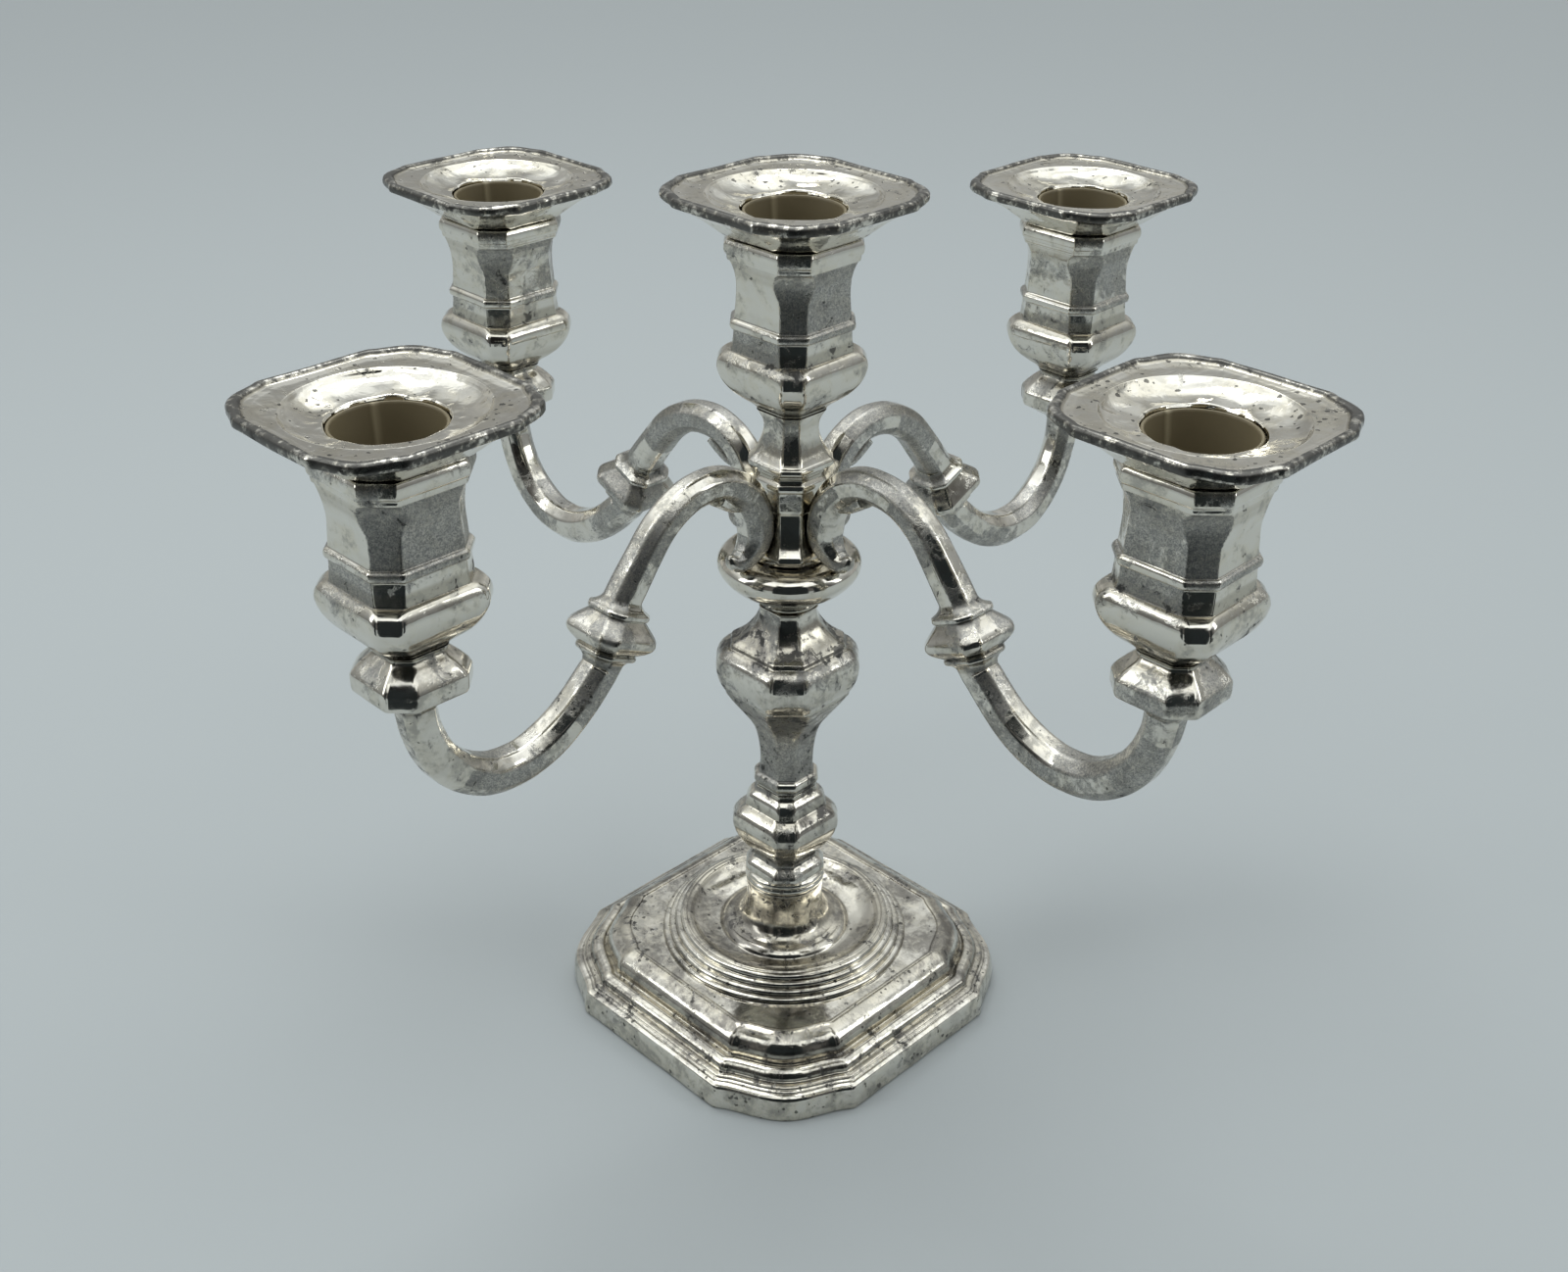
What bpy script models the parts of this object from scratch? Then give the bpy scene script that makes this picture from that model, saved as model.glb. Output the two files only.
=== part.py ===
"""Five-light tabletop candelabra: a stepped square base with canted corners, a
baluster stem drawn together by a tie rod, and a branch section of four scroll
arms round a central hub.  Every arm and the hub carry a cup, a candle sleeve
and a loose drip pan.  Sizes are in millimetres and scaled to metres on build.
The arms run along +-X and +-Y and the object rests on z = 0."""
import math

import bmesh
import bpy
from mathutils import Vector

MM = 0.001
GAP = 0.3                     # clearance between pieces that touch

# base
BASE_HALF = 53.8              # half the width across the base flats
BASE_CANT = 27.0              # how far each corner is cut back along a side
BASE_BOW = 4.5                # how far the cut corner swells outwards
FOOT_BAND = 7.4               # height of the upright band at the floor
OVOLO_HALF = 44.4             # half width where the big quarter round starts
OVOLO_FOOT = 10.8
LEDGE_HALF = 38.1             # half width of the flat ledge above it
LEDGE_Z = 17.3
RING_OUTER = 35.3             # radius of the lowest of the round steps
RING_INNER = 28.5             # radius of the ridge that tops them
RING_STEPS = 4
RIDGE_Z = 22.8
VALLEY_Z = 19.0
COLLAR_R = 10.8
COLLAR_TOP = 34.9
SHELL_WALL = 1.4
COVER_THICK = 1.4
COVER_Z = 4.9

# tie rod and the holes it runs through
ROD_R = 2.4
BORE_R = 3.0
NUT_HALF = 4.0
NUT_HEIGHT = 2.8
WASHER_R = 6.5
WASHER_THICK = 0.8
ROD_FOOT = 0.4
ROD_INTO_HUB = 17.0

# stem, bottom to top
KNOP_HEIGHT = 32.1
KNOP_HALF = 12.4
KNOP_NECK_HALF = 7.6
VASE_HEIGHT = 57.0
VASE_WAIST_HALF = 6.6
VASE_SHOULDER_HALF = 15.5
VASE_NECK_HALF = 6.6
BALL_HEIGHT = 15.3
BALL_R = 19.1

# hub
HUB_HEIGHT = 40.2
HUB_HALF = 7.7
HUB_FOOT_HALF = 10.4
HUB_LEDGE_HALF = 9.4
HUB_NECK_HALF = 6.3
SEAT_HALF = 7.7               # square seat under each cup
SEAT_CANT = 3.0

# arms
ARM_REACH = 117.7             # stem axis to cup axis
ARM_HALF = 4.6                # half the thickness of the arm bar
ARM_RISE = 19.2               # arm seat above the foot of the hub
ARM_KNOP_HALF = 9.4
END_KNOP_HALF = 11.6

# cups, sleeves, pans
CUP_HEIGHT = 44.5
CUP_BODY_HALF = 12.4
CUP_LIP_HALF = 14.7
CUP_CUSHION_HALF = 15.2
SLEEVE_MOUTH_R = 12.6
SLEEVE_BODY_R = SLEEVE_MOUTH_R - 1.6
SLEEVE_WALL = 0.8
SLEEVE_LENGTH = 32.0
SLEEVE_PROUD = 6.1            # sleeve standing above the cup lip
SLEEVE_SEAT = 1.0             # thickness of its in-turned foot
SLEEVE_SEAT_R = SLEEVE_BODY_R - 3.2    # radius of the hole through that foot
PAN_HALF = 27.4
PAN_CANT = 13.7
PAN_BOW = 2.9
PAN_RIM = 2.5
PAN_DEPTH = 11.0              # rim top to the face that sits on the cup
SCREW_R = 2.0
SCREW_HEAD_R = 4.0
SCREW_HEAD_HEIGHT = 2.0
SCREW_LENGTH = 14.0
SCREW_HOLE_R = 2.3
CUP_FLOOR = 5.8
SCREW_HOLE_DEPTH = 10.0

# heights of the stack, each from the piece below it
KNOP_Z = COLLAR_TOP + GAP
VASE_Z = KNOP_Z + KNOP_HEIGHT + GAP
BALL_Z = VASE_Z + VASE_HEIGHT + GAP
HUB_Z = BALL_Z + BALL_HEIGHT + GAP
CENTRE_CUP_Z = HUB_Z + HUB_HEIGHT + GAP
ARM_SEAT_Z = HUB_Z + ARM_RISE
ARM_CUP_Z = ARM_SEAT_Z + GAP

SHARP_ANGLE = math.radians(32)

for old in list(bpy.data.objects):
    bpy.data.objects.remove(old, do_unlink=True)
for old in list(bpy.data.meshes):
    bpy.data.meshes.remove(old)

collection = bpy.data.collections.new("candelabra")
bpy.context.scene.collection.children.link(collection)


def material(name, colour, roughness, metallic):
    made = bpy.data.materials.new(name)
    made.use_nodes = True
    shader = made.node_tree.nodes["Principled BSDF"]
    shader.inputs["Base Color"].default_value = (*colour, 1.0)
    shader.inputs["Roughness"].default_value = roughness
    shader.inputs["Metallic"].default_value = metallic
    made.diffuse_color = (*colour, 1.0)
    return made


SILVER = dict(colour=(0.80, 0.79, 0.76), roughness=0.14, metallic=1.0)
BRASS = dict(colour=(0.62, 0.50, 0.27), roughness=0.30, metallic=1.0)
STEEL = dict(colour=(0.46, 0.46, 0.47), roughness=0.35, metallic=1.0)
TIN = dict(colour=(0.42, 0.41, 0.39), roughness=0.50, metallic=1.0)
SLEEVE = dict(colour=(0.36, 0.30, 0.19), roughness=0.55, metallic=0.0)

pivot = bpy.data.objects.new("branch_pivot", None)
collection.objects.link(pivot)
pivot.location = (0.0, 0.0, HUB_Z * MM)


def mix(a, b, t):
    return a + (b - a) * t


def canted(half, cant, z, bow=0.0, corner=2, flat=2):
    """One level square with cut corners.  bow swells each cut outwards."""
    points = []
    for quarter in range(4):
        turn = math.radians(90 * quarter)
        side = []
        for i in range(corner):
            t = i / corner
            lift = bow * 4 * t * (1 - t) / math.sqrt(2)
            side.append((half - cant * t + lift, half - cant * (1 - t) + lift))
        for i in range(flat):
            side.append((mix(half - cant, cant - half, i / flat), half))
        for x, y in side:
            points.append((x * math.cos(turn) - y * math.sin(turn),
                           x * math.sin(turn) + y * math.cos(turn), z))
    return points


def disc(radius, z, corner=2, flat=2):
    """A level circle with its points beside those of canted()."""
    steps = corner + flat
    first = 45 - 45 * corner / steps
    points = []
    for i in range(4 * steps):
        angle = math.radians(first + 90 * i / steps)
        points.append((radius * math.cos(angle), radius * math.sin(angle), z))
    return points


def bulge(start, end, sag, steps):
    """(half, z) points from start to end, swollen sideways by sag."""
    run = Vector(end) - Vector(start)
    side = Vector((run.y, -run.x)).normalized()
    points = []
    for i in range(steps + 1):
        t = i / steps
        point = Vector(start) + run * t + side * (sag * 4 * t * (1 - t))
        points.append((point.x, point.y))
    return points


def finish(name, mesh, look, place, parent, turn=0.0):
    thing = bpy.data.objects.new(name, mesh)
    mesh.materials.append(material(name + "_finish", **look))
    collection.objects.link(thing)
    thing.location = Vector(place) * MM
    if parent is not None:
        thing.parent = parent
        thing.location -= parent.location
    thing.rotation_euler = (0.0, 0.0, turn)
    return thing


def loft(name, rings, look, place=(0, 0, 0), parent=None, hollow=False, turn=0.0):
    """Skin rings of equal count.  A hollow piece closes last ring to first."""
    form = bmesh.new()
    rows = [[form.verts.new(Vector(p) * MM) for p in ring] for ring in rings]
    count = len(rows[0])
    pairs = list(zip(rows, rows[1:]))
    if hollow:
        pairs.append((rows[-1], rows[0]))
    for low, high in pairs:
        for i in range(count):
            j = (i + 1) % count
            form.faces.new((low[i], low[j], high[j], high[i]))
    if not hollow:
        form.faces.new(list(reversed(rows[0])))
        form.faces.new(rows[-1])
    bmesh.ops.recalc_face_normals(form, faces=form.faces)
    for face in form.faces:
        face.smooth = True
    mesh = bpy.data.meshes.new(name)
    form.to_mesh(mesh)
    form.free()
    mesh.set_sharp_from_angle(angle=SHARP_ANGLE)
    return finish(name, mesh, look, place, parent, turn)


def turned(name, profile, look, steps, place=(0, 0, 0), parent=None, ring=False):
    """Spin a (radius, z) profile, given from the top down its outer side."""
    mesh = bpy.data.meshes.new(name)
    edges = [(i, i + 1) for i in range(len(profile) - 1)]
    if ring:
        edges.append((len(profile) - 1, 0))
    mesh.from_pydata([(r * MM, 0.0, z * MM) for r, z in profile], edges, [])
    thing = finish(name, mesh, look, place, parent)
    spin = thing.modifiers.new("spin", "SCREW")
    spin.axis = "Z"
    spin.angle = math.radians(360)
    spin.steps = steps
    spin.render_steps = steps
    spin.use_merge_vertices = True
    spin.merge_threshold = 0.00001
    spin.use_smooth_shade = True
    return thing


# ---------------------------------------------------------------- base shell
def base_shell():
    corner, flat = 4, 2

    def level(half, z):
        """Cant and bow shrink with the width, so the corners stay alike."""
        share = (half - LEDGE_HALF) / (BASE_HALF - LEDGE_HALF)
        cant = mix(0.45 * LEDGE_HALF, BASE_CANT, share)
        bow = mix(0.65 * BASE_BOW, BASE_BOW, share)
        return canted(half, cant, z, bow, corner, flat)

    def round_level(radius, z):
        return disc(radius, z, corner, flat)

    band_top = mix(OVOLO_HALF, BASE_HALF, 0.66)
    rings = [level(BASE_HALF, 0.0)]
    rings.append(level(BASE_HALF - 0.1, 0.50 * FOOT_BAND))
    rings.append(level(BASE_HALF - 0.3, 0.70 * FOOT_BAND))
    rings.append(level(BASE_HALF - 0.9, 0.90 * FOOT_BAND))
    rings.append(level(band_top, FOOT_BAND))
    rings.append(level(mix(OVOLO_HALF, BASE_HALF, 0.30), FOOT_BAND + 0.5))
    rings.append(level(OVOLO_HALF + 1.6, mix(FOOT_BAND, OVOLO_FOOT, 0.55)))
    for half, z in bulge((OVOLO_HALF, OVOLO_FOOT), (LEDGE_HALF, LEDGE_Z), 1.7, 4):
        rings.append(level(half, z))
    ring_pitch = (RING_OUTER - RING_INNER) / RING_STEPS
    rise = (RIDGE_Z - LEDGE_Z - 0.4) / RING_STEPS
    for i in range(RING_STEPS):
        radius = RING_OUTER - ring_pitch * i
        foot = LEDGE_Z + 0.4 + rise * i
        rings.append(round_level(radius, foot))
        rings.append(round_level(radius - 0.5, foot + 0.9 * rise))
    valley_outer = mix(COLLAR_R, RING_INNER, 0.60)
    valley_inner = mix(COLLAR_R, RING_INNER, 0.42)
    rings.append(round_level(RING_INNER, RIDGE_Z))
    rings.append(round_level(RING_INNER - 1.8, RIDGE_Z - 0.9))
    rings.append(round_level(valley_outer, VALLEY_Z + 0.5))
    rings.append(round_level(valley_inner, VALLEY_Z))
    rings.append(round_level(valley_inner - 1.5, VALLEY_Z + 1.5))
    rings.append(round_level(COLLAR_R + 2.4, VALLEY_Z + 2.9))
    rings.append(round_level(COLLAR_R + 0.7, VALLEY_Z + 4.9))
    rings.append(round_level(COLLAR_R, VALLEY_Z + 7.5))
    rings.append(round_level(COLLAR_R, COLLAR_TOP))
    rings.append(round_level(BORE_R, COLLAR_TOP))
    inside = COLLAR_R - SHELL_WALL
    rings.append(round_level(BORE_R, COLLAR_TOP - SHELL_WALL))
    rings.append(round_level(inside, COLLAR_TOP - SHELL_WALL))
    rings.append(round_level(inside, VALLEY_Z + 6.0))
    rings.append(round_level(COLLAR_R + 1.4, VALLEY_Z + 1.4))
    rings.append(round_level(valley_inner - 1.2, VALLEY_Z - SHELL_WALL))
    rings.append(round_level(valley_outer, VALLEY_Z - SHELL_WALL))
    rings.append(round_level(RING_INNER - 0.6, RIDGE_Z - 2.6 * SHELL_WALL))
    rings.append(round_level(RING_OUTER - 2.0, LEDGE_Z - 0.6))
    rings.append(level(LEDGE_HALF - 1.5, LEDGE_Z - SHELL_WALL))
    rings.append(level(mix(LEDGE_HALF, OVOLO_HALF, 0.55), LEDGE_Z - 3.4))
    rings.append(level(OVOLO_HALF - SHELL_WALL, OVOLO_FOOT - 1.0))
    rings.append(level(OVOLO_HALF + 0.2, COVER_Z + COVER_THICK + GAP))
    rings.append(level(cover_half() + GAP, COVER_Z + COVER_THICK + GAP))
    rings.append(level(cover_half() + GAP, COVER_Z - GAP))
    rings.append(level(BASE_HALF - SHELL_WALL - 0.6, 1.6))
    rings.append(level(BASE_HALF - SHELL_WALL, 0.0))
    loft("base_shell", rings, SILVER, hollow=True)


def cover_half():
    """The cover fits inside the upright band of the base."""
    return BASE_HALF - 1.8 - SHELL_WALL - 1.4


def base_cover():
    corner, flat = 4, 2
    half = cover_half()
    share = (half - LEDGE_HALF) / (BASE_HALF - LEDGE_HALF)
    cant = mix(0.45 * LEDGE_HALF, BASE_CANT, share)
    bow = mix(0.65 * BASE_BOW, BASE_BOW, share)
    top = COVER_Z + COVER_THICK
    rings = [disc(BORE_R, top, corner, flat), disc(BORE_R, COVER_Z, corner, flat)]
    rings.append(canted(half, cant, COVER_Z, bow, corner, flat))
    rings.append(canted(half, cant, top, bow, corner, flat))
    loft("base_cover", rings, TIN, hollow=True)


def tie_parts():
    rod_top = HUB_Z + ROD_INTO_HUB
    rod = [(0.0, rod_top), (ROD_R - 0.4, rod_top), (ROD_R, rod_top - 0.6)]
    rod += [(ROD_R, ROD_FOOT + 0.6), (ROD_R - 0.4, ROD_FOOT), (0.0, ROD_FOOT)]
    turned("tie_rod", rod, BRASS, 20)
    washer_top = COVER_Z - GAP
    washer_foot = washer_top - WASHER_THICK
    washer = [(BORE_R, washer_top), (WASHER_R, washer_top)]
    washer += [(WASHER_R, washer_foot), (BORE_R, washer_foot)]
    turned("tie_washer", washer, BRASS, 24, ring=True)
    nut_top = washer_foot - GAP
    nut_foot = nut_top - NUT_HEIGHT
    rings = []
    for radial, z in ((None, nut_foot), (None, nut_top), (BORE_R, nut_top), (BORE_R, nut_foot)):
        ring = []
        for i in range(24):
            angle = 2 * math.pi * i / 24
            facet = (angle + math.pi / 6) % (math.pi / 3) - math.pi / 6
            reach = NUT_HALF / math.cos(facet) if radial is None else radial
            ring.append((reach * math.cos(angle), reach * math.sin(angle), z))
        rings.append(ring)
    loft("tie_nut", rings, BRASS, hollow=True)


# ----------------------------------------------------------------------- stem
def bored(rings, top, foot):
    """Close a stem piece with the straight hole for the tie rod."""
    return rings + [disc(BORE_R, top), disc(BORE_R, foot)]


def stem_knop():
    flange = COLLAR_R + 0.2
    neck = KNOP_NECK_HALF
    rings = [disc(flange, 0.0), disc(flange + 0.2, 0.06 * KNOP_HEIGHT)]
    rings.append(disc(flange - 0.3, 0.10 * KNOP_HEIGHT))
    rings.append(canted(flange - 1.5, 3.6, 0.14 * KNOP_HEIGHT))
    rings.append(canted(flange - 2.0, 3.5, 0.19 * KNOP_HEIGHT))
    rings.append(canted(neck + 0.4, 3.1, 0.24 * KNOP_HEIGHT))
    rings.append(canted(neck, 3.0, 0.28 * KNOP_HEIGHT))
    for half, z in bulge((neck + 1.0, 0.35 * KNOP_HEIGHT), (KNOP_HALF, 0.60 * KNOP_HEIGHT), 0.9, 3):
        rings.append(canted(half, mix(3.2, 3.9, (half - neck) / (KNOP_HALF - neck)), z))
    for half, z in bulge((KNOP_HALF, 0.61 * KNOP_HEIGHT), (9.9, 0.78 * KNOP_HEIGHT), 1.3, 3)[1:]:
        rings.append(canted(half, 3.7, z))
    rings.append(canted(9.4, 3.4, 0.87 * KNOP_HEIGHT))
    rings.append(canted(neck + 0.3, 3.0, 0.91 * KNOP_HEIGHT))
    rings.append(canted(VASE_WAIST_HALF + 0.5, 2.8, KNOP_HEIGHT))
    loft("stem_knop", bored(rings, KNOP_HEIGHT, 0.0), SILVER, (0, 0, KNOP_Z), hollow=True)


def stem_vase():
    high = VASE_HEIGHT
    waist = VASE_WAIST_HALF
    shoulder = VASE_SHOULDER_HALF
    rings = [canted(waist + 0.5, 2.8, 0.0), canted(waist + 0.6, 2.8, 0.018 * high)]
    for half, z in bulge((waist + 0.8, 0.026 * high), (waist + 0.8, 0.070 * high), 0.5, 3):
        rings.append(canted(half, 3.0, z))
    rings.append(canted(waist, 2.7, 0.080 * high))
    rings.append(canted(waist, 2.7, 0.16 * high))
    rings.append(canted(waist + 0.5, 2.8, 0.27 * high))
    rings.append(canted(waist + 1.3, 3.0, 0.36 * high))
    rings.append(canted(waist + 3.2, 3.3, 0.44 * high))
    rings.append(canted(shoulder - 2.7, 3.6, 0.54 * high))
    rings.append(canted(shoulder - 1.9, 3.7, 0.575 * high))
    swell = bulge((shoulder - 1.7, 0.585 * high), (shoulder - 1.6, 0.77 * high), 2.1, 5)
    for half, z in swell:
        rings.append(canted(half, 3.9, z))
    ledge = mix(VASE_NECK_HALF, shoulder, 0.66)
    rings.append(canted(ledge, 3.6, 0.792 * high))
    rings.append(canted(ledge - 0.5, 3.5, 0.805 * high))
    neck = VASE_NECK_HALF
    for half, z in bulge((ledge - 1.6, 0.82 * high), (neck + 0.2, 0.95 * high), -1.2, 4):
        rings.append(canted(half, 3.2, z))
    rings.append(canted(neck, 3.1, high))
    loft("stem_vase", bored(rings, high, 0.0), SILVER, (0, 0, VASE_Z), hollow=True)


def ball_cup():
    neck = VASE_NECK_HALF + 1.0
    profile = [(BORE_R, BALL_HEIGHT), (0.82 * BALL_R, BALL_HEIGHT)]
    profile += [(0.90 * BALL_R, 0.955 * BALL_HEIGHT), (0.965 * BALL_R, 0.85 * BALL_HEIGHT)]
    profile += [(BALL_R, 0.70 * BALL_HEIGHT), (0.985 * BALL_R, 0.55 * BALL_HEIGHT)]
    profile += [(0.91 * BALL_R, 0.41 * BALL_HEIGHT), (0.785 * BALL_R, 0.305 * BALL_HEIGHT)]
    profile += [(0.63 * BALL_R, 0.235 * BALL_HEIGHT), (neck + 0.2, 0.10 * BALL_HEIGHT)]
    profile += [(neck, 0.0), (BORE_R, 0.0)]
    turned("ball_cup", profile, SILVER, 24, (0, 0, BALL_Z), ring=True)


def branch_hub():
    high = HUB_HEIGHT
    half = HUB_HALF
    foot = HUB_FOOT_HALF
    rings = [disc(foot + 0.8, 0.0), disc(foot + 0.8, 0.03 * high)]
    rings.append(canted(foot - 0.3, 4.2, 0.045 * high))
    rings.append(canted(foot - 0.8, 4.0, 0.085 * high))
    rings.append(canted(half + 0.9, 3.9, 0.13 * high))
    rings.append(canted(half, 3.9, 0.20 * high))
    rings.append(canted(half - 0.3, 3.9, 0.335 * high))
    rings.append(canted(half, 4.1, 0.345 * high))
    rings.append(canted(half, 4.2, 0.485 * high))
    for size, z in bulge((half + 0.3, 0.495 * high), (half + 0.3, 0.555 * high), 0.5, 2):
        rings.append(canted(size, 4.3, z))
    rings.append(canted(half - 0.2, 4.0, 0.57 * high))
    rings.append(canted(half + 0.4, 4.0, 0.60 * high))
    rings.append(canted(HUB_LEDGE_HALF, 3.6, 0.635 * high))
    rings.append(canted(HUB_LEDGE_HALF, 3.5, 0.665 * high))
    neck = HUB_NECK_HALF
    flare = bulge((HUB_LEDGE_HALF - 0.8, 0.685 * high), (neck, 0.89 * high), -0.7, 4)
    for size, z in flare:
        rings.append(canted(size, 2.9, z))
    rings.append(canted(neck + 0.4, 2.9, 0.95 * high))
    rings.append(canted(SEAT_HALF, SEAT_CANT, high))
    rings.append(disc(SCREW_HOLE_R, high))
    rings.append(disc(SCREW_HOLE_R, high - SCREW_HOLE_DEPTH))
    socket = [disc(BORE_R, ROD_INTO_HUB + 1.0), disc(BORE_R, 0.0)]
    drill_hub(rings, socket)


def drill_hub(outer, socket):
    """The hub has a screw hole from the top and a rod hole from below."""
    form = bmesh.new()
    rows = [[form.verts.new(Vector(p) * MM) for p in ring] for ring in outer + socket]
    count = len(rows[0])
    top_end = len(outer) - 1
    pairs = [(rows[i], rows[i + 1]) for i in range(top_end)]
    pairs.append((rows[-2], rows[-1]))
    pairs.append((rows[-1], rows[0]))
    for low, high in pairs:
        for i in range(count):
            j = (i + 1) % count
            form.faces.new((low[i], low[j], high[j], high[i]))
    form.faces.new(rows[top_end])
    form.faces.new(list(reversed(rows[-2])))
    bmesh.ops.recalc_face_normals(form, faces=form.faces)
    for face in form.faces:
        face.smooth = True
    mesh = bpy.data.meshes.new("branch_hub")
    form.to_mesh(mesh)
    form.free()
    mesh.set_sharp_from_angle(angle=SHARP_ANGLE)
    finish("branch_hub", mesh, SILVER, (0, 0, HUB_Z), pivot)


# ----------------------------------------------------------------------- arms
SCROLL_X = HUB_HALF + GAP + ARM_HALF
REACH_SPAN = ARM_REACH - SCROLL_X
KNOP_AT = Vector((SCROLL_X + 0.459 * REACH_SPAN, -0.9))
KNOP_LEAN = math.radians(25)
KNOP_RUN = Vector((math.sin(KNOP_LEAN), -math.cos(KNOP_LEAN)))


def curve_through(points, steps):
    """Smooth (x, z, half) points through the given ones."""
    spots = [Vector(p) for p in points]
    spots = [spots[0] * 2 - spots[1]] + spots + [spots[-1] * 2 - spots[-2]]
    path = []
    for i in range(1, len(spots) - 2):
        a, b, c, d = spots[i - 1:i + 3]
        for k in range(steps):
            t = k / steps
            line = (c - a) * t + (a * 2 - b * 5 + c * 4 - d) * t * t
            cube = (b * 3 - a - c * 3 + d) * t * t * t
            path.append((b * 2 + line + cube) / 2)
    path.append(spots[-2])
    return path


def bar_section(centre, run, half, cant):
    """Eight-sided section square to run, which lies in the XZ plane."""
    side = Vector((-run.y, run.x))
    near = half - cant
    ring = []
    corners = [(half, near), (near, half), (-near, half), (-half, near)]
    corners += [(-half, -near), (-near, -half), (near, -half), (half, -near)]
    for a, b in corners:
        ring.append((centre[0] + side.x * a, b, centre[1] + side.y * a))
    return ring


def swept(points, steps, first=None, last=None):
    path = curve_through(points, steps)
    rings = []
    for i, spot in enumerate(path):
        before = path[max(i - 1, 0)]
        after = path[min(i + 1, len(path) - 1)]
        run = Vector((after.x - before.x, after.y - before.y)).normalized()
        if i == 0 and first is not None:
            run = first
        if i == len(path) - 1 and last is not None:
            run = last
        rings.append(bar_section((spot.x, spot.y), run, spot.z, 0.52 * spot.z))
    return rings


def arm(name, turn):
    x0 = SCROLL_X
    span = REACH_SPAN
    half = ARM_HALF
    start = KNOP_AT - KNOP_RUN * 8.6
    scroll = [(x0 + 5.4, 1.9, 0.30 * half), (x0 + 3.4, 2.7, 0.52 * half)]
    scroll += [(x0 + 1.4, 4.7, 0.78 * half), (x0 + 0.2, 7.6, 0.94 * half)]
    scroll += [(x0, 10.8, half), (x0 + 0.010 * span, 16.0, half)]
    scroll += [(x0 + 0.047 * span, 22.5, 0.96 * half), (x0 + 0.104 * span, 26.4, 0.93 * half)]
    scroll += [(x0 + 0.166 * span, 27.5, 0.92 * half), (x0 + 0.237 * span, 26.2, 0.92 * half)]
    scroll += [(x0 + 0.308 * span, 21.7, 0.94 * half), (x0 + 0.365 * span, 14.9, 0.97 * half)]
    scroll.append((start.x, start.y, half))
    rings = swept(scroll, 2, last=KNOP_RUN)
    knop = ARM_KNOP_HALF
    along = [(-6.6, 0.60 * knop, 2.4), (-5.9, 0.70 * knop, 2.5), (-4.7, 0.70 * knop, 2.5)]
    along += [(-4.4, 0.65 * knop, 2.5), (-0.9, 0.90 * knop, 3.0), (0.4, knop, 3.1)]
    along += [(1.9, 0.98 * knop, 3.1), (4.0, 0.76 * knop, 2.8), (4.5, 0.67 * knop, 2.6)]
    along += [(4.8, 0.71 * knop, 2.6), (5.7, 0.70 * knop, 2.6), (6.6, 0.58 * knop, 2.5)]
    for s, size, cant in along:
        rings.append(bar_section(KNOP_AT + KNOP_RUN * s, KNOP_RUN, size, cant))
    leave = KNOP_AT + KNOP_RUN * 9.0
    fork = [(leave.x, leave.y, half), (x0 + 0.568 * span, -16.1, 1.03 * half)]
    fork += [(x0 + 0.632 * span, -20.8, 1.06 * half), (x0 + 0.698 * span, -23.7, 1.08 * half)]
    fork += [(x0 + 0.760 * span, -24.7, 1.08 * half), (x0 + 0.836 * span, -23.5, 1.06 * half)]
    fork += [(x0 + 0.907 * span, -18.9, 1.02 * half), (x0 + 0.959 * span, -12.2, 0.98 * half)]
    fork += [(x0 + 0.990 * span, -4.0, 0.95 * half), (ARM_REACH, 3.2, 0.98 * half)]
    rings += swept(fork, 2, first=KNOP_RUN, last=Vector((0.0, 1.0)))
    up = Vector((0.0, 1.0))
    big = END_KNOP_HALF
    seat = [(-16.4, 0.51 * big, 2.8), (-14.3, 0.63 * big, 3.4), (-12.5, 0.78 * big, 4.2)]
    seat += [(-10.9, 0.965 * big, 4.8), (-10.1, big, 5.0), (-6.9, big, 4.9)]
    seat += [(-5.2, 0.95 * big, 4.6), (-3.4, 0.80 * big, 3.8), (-2.0, 0.62 * big, 3.0)]
    seat += [(-1.2, 0.61 * big, 2.9), (0.0, SEAT_HALF, SEAT_CANT)]
    for s, size, cant in seat:
        rings.append(bar_section((ARM_REACH, ARM_RISE + s), up, size, cant))
    near = SCREW_HOLE_R * (1 - math.tan(math.pi / 8))
    for depth in (0.0, SCREW_HOLE_DEPTH):
        spot = (ARM_REACH, ARM_RISE - depth)
        rings.append(bar_section(spot, up, SCREW_HOLE_R, near))
    loft(name, rings, SILVER, (0, 0, HUB_Z), pivot, turn=turn)


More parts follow.
